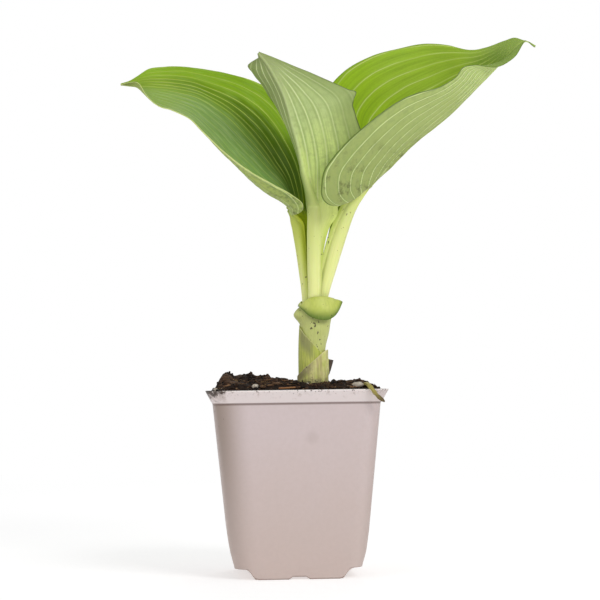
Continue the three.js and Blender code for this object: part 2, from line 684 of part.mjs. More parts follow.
// A half of the blade starts at the midrib and ends at the margin, its heading turning by turn x^late
function bladeHalf(side, t, place, up, sideways) {
  const chord = rowPoint(side.edge, t).sub(place).addScaledVector(sideways, tipHalf);
  const reach = Math.max(chord.length(), tipHalf);
  const out = chord.clone().normalize();
  const rise = up.clone().addScaledVector(out, -up.dot(out)).normalize();
  const turn = knot(side.turn, t) * rad;
  const steps = 60;
  const run = [0];
  const lift = [0];
  for (let i = 1; i <= steps; i++) {
    const heading = turn * ((i - 0.5) / steps) ** side.late;
    run.push(run[i - 1] + Math.cos(heading) / steps);
    lift.push(lift[i - 1] + Math.sin(heading) / steps);
  }
  const end = Math.hypot(run[steps], lift[steps]);
  const c = run[steps] / end;
  const d = lift[steps] / end;
  return across.map((x) => {
    const i = Math.min(Math.floor(x * steps), steps - 1);
    const f = x * steps - i;
    const far = run[i] * (1 - f) + run[i + 1] * f;
    const high = lift[i] * (1 - f) + lift[i + 1] * f;
    const offset = out.clone().multiplyScalar(((c * far + d * high) / end) * reach);
    offset.addScaledVector(rise, ((c * high - d * far) / end) * reach);
    return { offset, width: reach * x };
  });
}

// One row across the leaf's middle surface, from the left margin to the right one
function leafRow(leaf, midrib, s) {
  const place = midrib.place(s);
  const ahead = midrib.heading(s);
  const t = Math.max(s, 0);
  const stalkT = Math.min(s + 1, 1);
  const up = knotPoint(leaf.facing, (s + 1) / 2);
  up.addScaledVector(ahead, -up.dot(ahead)).normalize();
  const right = new THREE.Vector3().crossVectors(ahead, up);
  const onBlade = smooth(-0.12, 0.02, s);
  const lastDepth = leaf.depth[leaf.depth.length - 1];
  const lastGirth = leaf.girth[leaf.girth.length - 1];
  const depth = s > 0 ? lastDepth * (1 - t) ** 4 + 0.5 * (1 - t) : knot(leaf.depth, stalkT);
  const girth = s > 0 ? 0.8 + (lastGirth - 0.8) * (1 - t) ** 5 : knot(leaf.girth, stalkT);
  const foot = midrib.place(t);
  const half = (side, sign) => {
    const sideways = right.clone().multiplyScalar(sign);
    const blade = bladeHalf(side, t, foot, up, sideways);
    return stalkHalf(side, stalkT).map((stalk, i) => {
      const point = place.clone().addScaledVector(sideways, stalk.outBy * (1 - onBlade));
      point.addScaledVector(up, stalk.upBy * (1 - onBlade)).addScaledVector(blade[i].offset, onBlade);
      const far = stalk.width * (1 - onBlade) + blade[i].width * onBlade;
      const rib = depth * clamp(1 - (far / girth) ** 2, 0, 1) ** 0.7;
      return { point, rib, skin: (leafThick / 2) * (1 - 0.5 * across[i] ** 4) };
    });
  };
  return [...half(leaf.sides.left, -1).reverse(), ...half(leaf.sides.right, 1).slice(1)];
}

// The sheet has its upper skin above the middle surface and its lower skin, with the rib, below it
function leafBody(leaf) {
  const midrib = midribOf(leaf);
  const rows = [];
  for (let i = 0; i < stalkStations; i++) {
    rows.push(leafRow(leaf, midrib, -1 + (i / stalkStations) ** 0.85));
  }
  for (let i = 0; i <= stationCount; i++) {
    const q = i / stationCount;
    rows.push(leafRow(leaf, midrib, 0.55 * q ** 1.8 + 0.45 * (1 - (1 - q) ** 1.35)));
  }
  const last = rows[0].length - 1;
  const rings = rows.map((row, i) => {
    const before = rows[Math.max(i - 1, 0)];
    const after = rows[Math.min(i + 1, rows.length - 1)];
    const above = [];
    const below = [];
    row.forEach(({ point, rib, skin }, j) => {
      const along = after[j].point.clone().sub(before[j].point);
      const over = row[Math.min(j + 1, last)].point.clone().sub(row[Math.max(j - 1, 0)].point);
      const normal = over.cross(along).normalize();
      above.push(point.clone().addScaledVector(normal, skin));
      below.push(point.clone().addScaledVector(normal, -skin - rib));
    });
    return [...above, ...below.reverse()];
  });
  return closedBody(rings, "strip", "strip");
}

const squared = (v) => Math.sign(v) * Math.abs(v) ** 0.75;

// A knobbly flattened lump, half sunk in the soil
function chipBody(chip, grow) {
  const geometry = new THREE.SphereGeometry(1, 10, 7);
  const position = geometry.attributes.position;
  const seed = chip.x * 1.7 + chip.y * 0.9;
  for (let i = 0; i < position.count; i++) {
    const p = new THREE.Vector3().fromBufferAttribute(position, i);
    p.set(squared(p.x), squared(p.y), squared(p.z));
    const bump = 1 + 0.1 * Math.sin(3.1 * p.x + seed) * Math.cos(2.7 * p.y + seed) + 0.05 * Math.sin(5 * p.z);
    const reach = chip.size.map((size) => size * bump + grow);
    position.setXYZ(i, p.x * reach[0], p.y * reach[1], p.z * reach[2]);
  }
  geometry.rotateX(chip.tilt * rad);
  geometry.rotateZ(chip.turn * rad);
  const inside = 1 - Math.max(Math.abs(chip.x), Math.abs(chip.y)) / soilHalf;
  geometry.translate(chip.x, chip.y, soilHeight(chip.x, chip.y, inside) + chip.lift);
  return bodyOf(geometry);
}

function strawBody(straw, grow) {
  return cord(straw.path, () => straw.thick, 8, 7, grow);
}

function soilBody() {
  let body = soilBlank().subtract(baseRelief(floorThick + gap));
  body = body.subtract(crownBody(gap));
  const stemHole = new THREE.CylinderGeometry(8.3, 8.3, 40, 36);
  stemHole.rotateX(90 * rad);
  stemHole.translate(stemX, stemY, sheathFoot - gap + 20);
  body = body.subtract(bodyOf(stemHole));
  for (const chip of chips) {
    body = body.subtract(chipBody(chip, gap));
  }
  for (const straw of straws) {
    body = body.subtract(strawBody(straw, gap));
  }
  return body;
}

function chipLook(name) {
  return name.startsWith("bark") ? bark : white;
}

const plant = new THREE.Group();
plant.name = "potted_hosta";
plant.add(meshOf(potBody(), "pot", plastic));
plant.add(meshOf(soilBody(), "soil", earth));
plant.add(meshOf(crownBody(0), "crown_and_roots", flesh));
plant.add(meshOf(sheathBody(lowerSheath, true), "sheath_lower", sheathBase));
plant.add(meshOf(sheathBody(middleSheath, false), "sheath_middle", sheathGreen));
plant.add(meshOf(collarBody(), "sheath_collar", sheathGreen));
plant.add(meshOf(leafBody(leftLeaf), "leaf_left", leafGreen));
plant.add(meshOf(leafBody(centreLeaf), "leaf_centre", leafGreen));
plant.add(meshOf(leafBody(rightLeaf), "leaf_right", leafGreen));
for (const chip of chips) {
  plant.add(meshOf(chipBody(chip, 0), chip.name, chipLook(chip.name)));
}
for (const straw of straws) {
  plant.add(meshOf(strawBody(straw, 0), straw.name, dry));
}

export default plant;
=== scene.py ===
import math
from functools import reduce

import bpy
import numpy as np
from mathutils import Matrix, Vector


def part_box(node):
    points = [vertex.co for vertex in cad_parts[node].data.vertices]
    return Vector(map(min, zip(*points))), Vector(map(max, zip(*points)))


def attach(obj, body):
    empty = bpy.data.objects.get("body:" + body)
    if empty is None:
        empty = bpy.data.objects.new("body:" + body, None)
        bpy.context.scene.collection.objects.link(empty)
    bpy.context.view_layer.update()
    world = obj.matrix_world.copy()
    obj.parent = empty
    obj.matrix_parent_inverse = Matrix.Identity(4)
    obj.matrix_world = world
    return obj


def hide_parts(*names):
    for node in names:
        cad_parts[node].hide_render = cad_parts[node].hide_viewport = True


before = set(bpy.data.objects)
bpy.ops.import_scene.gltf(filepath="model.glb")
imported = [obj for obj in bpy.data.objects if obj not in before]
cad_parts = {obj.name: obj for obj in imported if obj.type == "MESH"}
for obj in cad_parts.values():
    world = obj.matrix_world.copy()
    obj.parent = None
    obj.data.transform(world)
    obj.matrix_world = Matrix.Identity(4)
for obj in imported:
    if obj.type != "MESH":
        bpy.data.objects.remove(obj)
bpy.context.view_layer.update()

mm = 0.001


def smooth(a, b, x):  # 0 below a, 1 above b, 3t^2 - 2t^3 between
    t = np.clip((x - a) / (b - a), 0, 1)
    return t * t * (3 - 2 * t)


def bell(x):  # exp(-x^2)
    return np.exp(-x * x)


def unit(v):  # each vector over its own length
    return v / np.linalg.norm(v, axis=-1, keepdims=True)


def curveAt(values, t):  # smooth curve through evenly counted knots, t from 0 to 1
    knots = np.asarray(values, float)
    last = len(knots) - 1
    around = np.concatenate([[2 * knots[0] - knots[1]], knots, [2 * knots[-1] - knots[-2]]])
    x = np.clip(np.asarray(t, float), 0, 1) * last
    i = np.minimum(x.astype(int), last - 1)
    f = x - i
    if knots.ndim == 2:
        f = f[..., None]
    a, b, c, d = around[i], around[i + 1], around[i + 2], around[i + 3]
    return 0.5 * (2 * b + (c - a) * f + (2 * a - 5 * b + 4 * c - d) * f**2 + (3 * b - a - 3 * c + d) * f**3)


def rowsAt(rows, key):
    # Values at a key, from rows of a rising key and its values: cubic steps, slopes from the rows beside
    rows = np.asarray(rows, float)
    knots, values = rows[:, 0], rows[:, 1:]
    slopes = np.gradient(values, knots, axis=0)
    key = np.clip(key, knots[0], knots[-1])
    i = np.clip(np.searchsorted(knots, key, side="right") - 1, 0, len(knots) - 2)
    gap = (knots[i + 1] - knots[i])[..., None]
    f = (key - knots[i])[..., None] / gap
    return ((2 * f**3 - 3 * f**2 + 1) * values[i] + (f**3 - 2 * f**2 + f) * gap * slopes[i]
            + (3 * f**2 - 2 * f**3) * values[i + 1] + (f**3 - f**2) * gap * slopes[i + 1])


def latticeValue(cell, seed):  # a fixed random value from -1 to 1 for each whole-number point
    h = cell[..., 0] * 374761393 + cell[..., 1] * 668265263 + cell[..., 2] * 1442695041 + seed * 974711
    h = (h & 0xFFFFFFFF).astype(np.uint64)
    h = ((h ^ (h >> 13)) * 1274126177) & 0xFFFFFFFF
    h = ((h ^ (h >> 16)) * 2246822519) & 0xFFFFFFFF
    return (h ^ (h >> 15)).astype(float) / 2147483647.5 - 1


def lumps(points, size, seed):  # value noise: lattice values, size mm apart, blended smoothly in between
    p = np.asarray(points, float) / size
    cell = np.floor(p).astype(np.int64)
    f = p - cell
    f = f * f * (3 - 2 * f)
    total = 0
    for k in range(8):
        corner = np.array([k & 1, (k >> 1) & 1, (k >> 2) & 1])
        share = np.where(corner, f, 1 - f).prod(-1)
        total = total + share * latticeValue(cell + corner, seed)
    return total


def roughness(points, size, seed, octaves=3):  # lumps of halving size and halving height, summed
    return sum(0.5**k * lumps(points, size * 0.5**k, seed + 17 * k) for k in range(octaves))


def gridFaces(rows, cols, wrapRows=False):  # four-sided faces between neighbouring points of closed rows
    r = np.arange(rows if wrapRows else rows - 1)[:, None]
    c = np.arange(cols)[None, :]
    nr, nc = (r + 1) % rows, (c + 1) % cols
    return np.stack([r * cols + c, r * cols + nc, nr * cols + nc, nr * cols + c], -1).reshape(-1, 4)


def stripCap(base, n, flip):  # closes a ring of n points laid out as one side, then the other side back
    j = np.arange(n // 2 - 1)
    faces = base + np.stack([j, j + 1, n - 2 - j, n - 1 - j], -1)
    return faces[:, ::-1] if flip else faces


def closedRings(rings, foot, tip):  # rings joined by four-sided faces, each end closed by a fan to one point
    rows, cols = rings.shape[:2]
    j = np.arange(cols)
    last = (rows - 1) * cols
    low = np.stack([(j + 1) % cols, j, np.full(cols, rows * cols)], -1)
    high = np.stack([last + j, last + (j + 1) % cols, np.full(cols, rows * cols + 1)], -1)
    return np.concatenate([rings.reshape(-1, 3), [foot], [tip]]), [gridFaces(rows, cols), low, high]


def makePiece(name, points, faces, material, slot, attributes=None, replaced=(), smoothed=True):
    # Puts arrays of points (mm) and faces into a mesh object that rides on the pot's body
    points = np.asarray(points, float).reshape(-1, 3) * mm
    lists = [np.asarray(f, np.int32) for f in (faces if isinstance(faces, list) else [faces])]
    corners = np.concatenate([f.ravel() for f in lists])
    sizes = np.concatenate([np.full(len(f), f.shape[1], np.int32) for f in lists])
    mesh = bpy.data.meshes.new(name)
    mesh.vertices.add(len(points))
    mesh.vertices.foreach_set("co", points.astype(np.float32).ravel())
    mesh.loops.add(len(corners))
    mesh.loops.foreach_set("vertex_index", corners)
    mesh.polygons.add(len(sizes))
    mesh.polygons.foreach_set("loop_start", np.concatenate([[0], np.cumsum(sizes)[:-1]]).astype(np.int32))
    for key, values in (attributes or {}).items():
        layer = mesh.attributes.new(key, "FLOAT", "POINT")
        layer.data.foreach_set("value", np.asarray(values, np.float32).ravel())
    mesh.update(calc_edges=True)
    mesh.polygons.foreach_set("use_smooth", np.full(len(sizes), smoothed))
    outward = signedVolume(points, lists)
    if outward < 0:
        mesh.flip_normals()
    mesh.materials.append(material)
    piece = bpy.data.objects.new(name, mesh)
    bpy.context.scene.collection.objects.link(piece)
    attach(piece, "root")
    if replaced:
        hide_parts(*replaced)
    print("made", name, len(sizes), "faces", "turned outwards" if outward < 0 else "")


def signedVolume(points, lists):  # positive when the faces point outwards
    total = 0
    for f in lists:
        for k in range(1, f.shape[1] - 1):
            a, b, c = points[f[:, 0]], points[f[:, k]], points[f[:, k + 1]]
            total += np.einsum("ij,ij->i", a, np.cross(b, c)).sum()
    return total / 6


def tone(r, g, b):  # a screen colour, each part 0 to 255, as the linear colour that shaders use
    c = np.array([r, g, b]) / 255
    c = np.where(c <= 0.04045, c / 12.92, ((c + 0.055) / 1.055) ** 2.4)
    return (*[round(float(x), 4) for x in c], 1)


def stops(*rows):  # places along a ramp with their screen colours
    return [(row[0], tone(*row[1:])) for row in rows]


class Paint:
    # One material's nodes: each method adds a node or two and returns the output

    def __init__(self, name):
        self.material = bpy.data.materials.new(name)
        self.material.use_nodes = True
        self.nodes = self.material.node_tree.nodes
        self.links = self.material.node_tree.links
        self.shader = self.nodes["Principled BSDF"]
        self.place = self.add("ShaderNodeTexCoord").outputs["Object"]

    def put(self, socket, value):
        if isinstance(value, bpy.types.NodeSocket):
            self.links.new(value, socket)
        else:
            socket.default_value = value

    def add(self, kind, *values, **settings):  # a node with its settings, its first inputs filled in order
        made = self.nodes.new(kind)
        for key, value in settings.items():
            setattr(made, key, value)
        for socket, value in zip(made.inputs, values):
            self.put(socket, value)
        return made

    def fill(self, made, **values):  # puts values into a node's inputs by name, _ standing for a space
        for key, value in values.items():
            if value is not None:
                self.put(made.inputs[key.replace("_", " ")], value)
        return made

    def maths(self, kind, *values):
        return self.add("ShaderNodeMath", *values, operation=kind).outputs[0]

    def plus(self, *values):
        return reduce(lambda a, b: self.maths("ADD", a, b), values)

    def times(self, *values):
        return reduce(lambda a, b: self.maths("MULTIPLY", a, b), values)

    def less(self, a, b):
        return self.maths("SUBTRACT", a, b)

    def between(self, share, low, high):  # low where share is 0, high where it is 1
        return self.plus(self.times(share, high - low), low)

    def fade(self, value, low, high, toLow=0.0, toHigh=1.0):  # smooth step from toLow to toHigh
        limits = (value, low, high, toLow, toHigh)
        return self.add("ShaderNodeMapRange", *limits, interpolation_type="SMOOTHSTEP").outputs[0]

    def band(self, value, a, b, c, d):  # 0 before a, 1 from b to c, 0 after d
        return self.times(self.fade(value, a, b), self.fade(value, c, d, 1, 0))

    def blend(self, share, a, b):
        made = self.add("ShaderNodeMix", data_type="RGBA")
        for k, value in ((0, share), (6, a), (7, b)):
            self.put(made.inputs[k], value)
        return made.outputs[2]

    def over(self, base, color, *shares):  # a colour laid over base, as strong as the shares' product
        return self.blend(self.times(*shares), base, color)

    def ramp(self, value, colors):  # colours at places between -1 and 1, blended in between
        made = self.add("ShaderNodeValToRGB")
        made.color_ramp.interpolation = "EASE"
        while len(made.color_ramp.elements) < len(colors):
            made.color_ramp.elements.new(0.5)
        for element, (place, color) in zip(made.color_ramp.elements, colors):
            element.position = (place + 1) / 2
            element.color = color
        self.put(made.inputs[0], self.add("ShaderNodeMapRange", value, -1.0, 1.0).outputs[0])
        return made.outputs[0]

    def attribute(self, name):
        return self.add("ShaderNodeAttribute", attribute_name=name).outputs["Fac"]

    def axes(self):  # object x, y and z in metres
        return self.add("ShaderNodeSeparateXYZ", self.place).outputs

    def grazing(self):  # towards 1 where a surface is seen edge-on
        return self.fill(self.add("ShaderNodeLayerWeight"), Blend=0.35).outputs["Facing"]

    def noise(self, scale, detail=3.0, rough=0.5, vector=None):
        vector = self.place if vector is None else vector
        made = self.fill(self.add("ShaderNodeTexNoise"), Vector=vector, Scale=scale, Detail=detail)
        return self.fill(made, Roughness=rough).outputs["Fac"]

    def streaks(self, u, uScale, v, vScale, detail=2, rough=0.5):  # noise over two scaled values
        scaled = self.add("ShaderNodeCombineXYZ", self.times(u, uScale), self.times(v, vScale))
        return self.noise(1, detail, rough, scaled.outputs[0])

    def grain(self, detail, rough, *scales):  # noise over object coordinates, each way at its own scale
        scaled = self.fill(self.add("ShaderNodeMapping"), Vector=self.place, Scale=scales)
        return self.noise(1, detail, rough, scaled.outputs[0])

    def bump(self, height, strength, distance, under=None):
        made = self.fill(self.add("ShaderNodeBump"), Height=height, Strength=strength, Distance=distance)
        return self.fill(made, Normal=under).outputs[0]

    def finish(self, color, rough, normal=None, **fixed):
        self.fill(self.shader, Base_Color=color, Roughness=rough, Normal=normal, **fixed)
        return self.material


# Leaves. Each leaf is one sheet: a stalk that opens into a folded, pointed blade. Lengths are in mm and
# angles in degrees.
# axis: the stalk's and the midrib's middle, with the blade beginning at point number junction.
# edge: the blade's two margins, each row the share of the midrib's length it belongs to, then x, y, z.
# turn: how far a half curves towards the upper side from the midrib to its margin; a higher late puts
# the curve nearer the margin.

leafGrid = {"stalkRows": 60, "bladeRows": 170, "columns": 80}
leftLeaf = {
    "axis": [[8.2, 2.7, 97.3], [8.2, 2.7, 118], [8.4, 3, 139.6], [6.9, 3.4, 157], [4.8, 4, 172],
        [2, 5.5, 187], [-2, 9, 200.5], [-8, 12, 210.5], [-14.5, 15, 220.5], [-21.5, 17, 229.5],
        [-29.5, 19, 238], [-38.5, 20, 244.5], [-48, 21, 249.5], [-59.5, 21, 252], [-70, 20.5, 253],
        [-79, 20, 253.4], [-87.5, 19, 254.2]],
    "junction": 5,
    "facing": [[1, -0.3, 0.2], [1, -0.5, 0.2], [0.8, -0.5, 0.5], [0.45, -0.6, 0.75], [0.1, -0.5, 0.85]],
    "depth": [2.4, 2.6, 3.2, 3.2], "girth": [2.7, 2.9, 3.6, 3.8],
    "left": {
        "stalk": [2.3, 2.4, 2.5, 2.8, 3, 3.2, 3.7, 4.8, 7], "fold": [10, 20, 25, 35, 45],
        "curl": [20, 25, 30, 45, 60],
        "edge": [[0, -1, 1, 186.5], [0.02, 2, -5, 183.5], [0.045, 5, -11, 184], [0.08, 5.5, -15, 187],
            [0.13, 0, -18, 191.5], [0.2, -9, -21, 196.5], [0.3, -19, -22, 202], [0.4, -27.5, -21, 208],
            [0.5, -35, -18, 214.5], [0.6, -43, -13, 223.5], [0.7, -51.5, -7, 232.5], [0.8, -61, 0, 238],
            [0.87, -68.5, 6, 242], [0.92, -74.5, 12, 248.5], [0.95, -78.5, 16, 255],
            [0.975, -83, 18, 255.5], [1, -87.5, 19, 254.4]],
        "turn": [95, 102, 74, 52, 38, 35, 30], "late": 2.2, "veins": 9,
    },
    "right": {
        "stalk": [2.3, 2.4, 2.5, 2.8, 3.6, 4.6, 6, 8, 9.5], "fold": [10, 25, 50, 60, 60],
        "curl": [20, 25, 25, 25, 25],
        "edge": [[0, 8.5, 10, 187], [0.05, 11.5, 14, 201], [0.12, 10, 20, 219], [0.2, 4, 26, 236],
            [0.3, -6, 32, 251], [0.4, -17.5, 36, 258.5], [0.5, -30, 38, 262.5], [0.6, -42.5, 39, 265],
            [0.7, -55, 38, 266.5], [0.8, -65.5, 35, 266], [0.88, -73.5, 30, 264], [0.94, -79, 25, 259.5],
            [0.97, -83, 22, 256.5], [1, -87.5, 19, 254.6]],
        "turn": [20, 25, 25, 20, 15], "late": 1, "veins": 6,
    },
    "puff": 0.22, "seed": 3, "spread": 0.95,
}
centreLeaf = {
    "axis": [[10, -1.9, 97.3], [10, -1.9, 118], [11.1, -2.2, 139.6], [11.2, -3, 157], [11.2, -3.8, 172],
        [11, -5.5, 187], [9, -8, 195.5], [6.5, -11, 203.5], [4.5, -14, 212], [2.5, -17, 219.5],
        [0, -20, 227.5], [-2, -23, 234.5], [-4.5, -26, 241.5], [-7.5, -28.5, 247.5], [-12, -31, 255],
        [-17, -32, 261.5]],
    "junction": 5, "facing": [[0, 1, 0], [0.1, 1, 0], [0.3, 0.83, 0.3], [0.4, 0.83, 0.3], [0.3, 0.83, 0.4]],
    "depth": [2.4, 2.6, 3.2, 2.6], "girth": [2.6, 2.9, 3.5, 3.5],
    "left": {
        "stalk": [2, 2.1, 2.3, 2.8, 3.4, 4, 5, 8, 14], "fold": [0, 0, 5, 8, 12],
        "curl": [10, 10, 10, 10, 10],
        "edge": [[0, 23, -4.5, 186.5], [0.08, 29, -5, 194], [0.16, 35.5, -6.5, 204.5],
            [0.24, 38, -10, 214.5], [0.32, 35.5, -12, 223.5], [0.42, 32, -14, 233.5], [0.5, 31, -16, 240],
            [0.53, 32.5, -17, 244], [0.56, 29, -18, 245], [0.65, 20, -20, 248.5], [0.75, 9.5, -23, 252.5],
            [0.85, -1.5, -26, 256.5], [0.93, -10, -29, 259.5], [1, -17, -32, 261.8]],
        "turn": [10, 15, 15, 10, 5], "late": 1, "veins": 6,
    },
    "right": {
        "stalk": [2, 2.1, 2.3, 2.8, 3.3, 3.5, 3.8, 4.3, 5], "fold": [0, 0, 10, 20, 35],
        "curl": [10, 10, 15, 15, 10],
        "edge": [[0, 8.5, 1, 189], [0.1, 6.5, 2, 203.5], [0.2, 4.5, 1, 216.5], [0.3, 1, 0, 226.5],
            [0.4, -2.5, -3, 233], [0.5, -6.5, -7, 238], [0.6, -10.5, -11, 243], [0.7, -14, -15, 248.5],
            [0.8, -18, -20, 253], [0.87, -21.5, -24, 257], [0.92, -18.5, -27, 259],
            [0.96, -16.5, -29.5, 260], [1, -17, -32, 261.2]],
        "turn": [20, 25, 20, 15, 10], "late": 1, "veins": 4,
    },
    "puff": 0.3, "seed": 5, "spread": 0.8,
}
rightLeaf = {
    "axis": [[11.8, 2.7, 97.3], [11.8, 2.7, 118], [14.8, 2.7, 139.6], [19.4, 2.8, 156], [24.7, 2.6, 172],
        [29.6, 2.8, 184], [34.3, 3, 192], [40.2, 4, 199.7], [51.6, 9, 209.7], [60.7, 14, 218],
        [69, 19, 225], [78, 23, 231.8], [87.8, 27, 239.8], [96, 30, 247.7], [104, 32, 255.6],
        [112, 34, 263.5], [120.5, 35.5, 272], [129, 36, 279.5], [135.2, 36, 276.7]],
    "junction": 7,
    "facing": [[-1, 0.1, 0.2], [-1, -0.1, 0.4], [-0.6, -0.45, 0.7], [-0.47, -0.48, 0.74], [-0.2, -0.6, 0.7]],
    "depth": [2.6, 3, 3.4, 2.2], "girth": [2.8, 3.3, 4.3, 3.6],
    "left": {
        "stalk": [2.3, 2.4, 2.6, 3.2, 4.2, 5, 6.4, 8, 9], "fold": [10, 25, 45, 50, 55],
        "curl": [20, 30, 30, 30, 30],
        "edge": [[0, 39.5, 6, 199], [0.05, 33, 12, 210.5], [0.12, 26.5, 20, 230], [0.2, 22.5, 28, 248],
            [0.25, 25, 32, 256.5], [0.29, 31, 35.5, 263], [0.38, 47, 42, 272.8], [0.47, 62, 44, 277.2],
            [0.57, 76.5, 45, 279.9], [0.66, 89.5, 45, 279], [0.74, 101, 44, 276.2], [0.81, 110, 42, 277.2],
            [0.87, 119.5, 40, 280.5], [0.92, 125.5, 38, 281.6], [0.95, 129, 36, 279.8],
            [1, 135.2, 36, 276.9]],
        "turn": [20, 30, 30, 20, 10], "late": 1, "veins": 7,
    },
    "right": {
        "stalk": [2.3, 2.4, 2.6, 3.3, 5, 6.4, 6.9, 7, 8], "fold": [10, 25, 45, 60, 62],
        "curl": [20, 30, 30, 25, 20],
        "edge": [[0, 27.5, -9.5, 189], [0.02, 25.5, -14, 187.3], [0.045, 22, -19, 186],
            [0.07, 19, -22.5, 185.8], [0.1, 15.5, -25.5, 187.3], [0.13, 13.5, -27, 190.5],
            [0.17, 13.5, -29, 196], [0.23, 15.3, -29, 203], [0.29, 20.5, -28, 210],
            [0.38, 33.5, -25, 223.5], [0.47, 49, -20, 236], [0.57, 63.5, -11, 244], [0.66, 79, 1, 250],
            [0.72, 87.5, 9, 256], [0.77, 92.5, 15, 262], [0.82, 101.5, 20, 264], [0.86, 111, 25, 264],
            [0.9, 119, 30, 267.5], [0.93, 124.5, 33, 272.5], [0.95, 128.5, 35.5, 279],
            [1, 135.2, 36, 276.6]],
        "turn": [30, 35, 38, 36, 20, 0], "late": 1, "veins": 8,
    },
    "puff": 0.22, "seed": 8, "spread": 1,
}
leafThick = 0.8
tipHalf = 0.6


def midribOf(leaf, s):
    # places and headings by true length along the midrib: s from -1 (foot) over 0 (blade begins) to 1 (tip)
    fine = curveAt(leaf["axis"], np.linspace(0, 1, 2001))
    along = np.concatenate([[0], np.cumsum(np.linalg.norm(np.diff(fine, axis=0), axis=1))])
    stalkLength = along[round(leaf["junction"] / (len(leaf["axis"]) - 1) * 2000)]
    total = along[-1]
    length = np.where(s < 0, stalkLength * (1 + s), stalkLength + (total - stalkLength) * s)

    def at(x):
        return np.stack([np.interp(np.clip(x, 0, total), along, fine[:, k]) for k in range(3)], -1)

    middle = np.clip(length, 1, total - 1)
    return at(length), unit(at(middle + 1) - at(middle - 1))


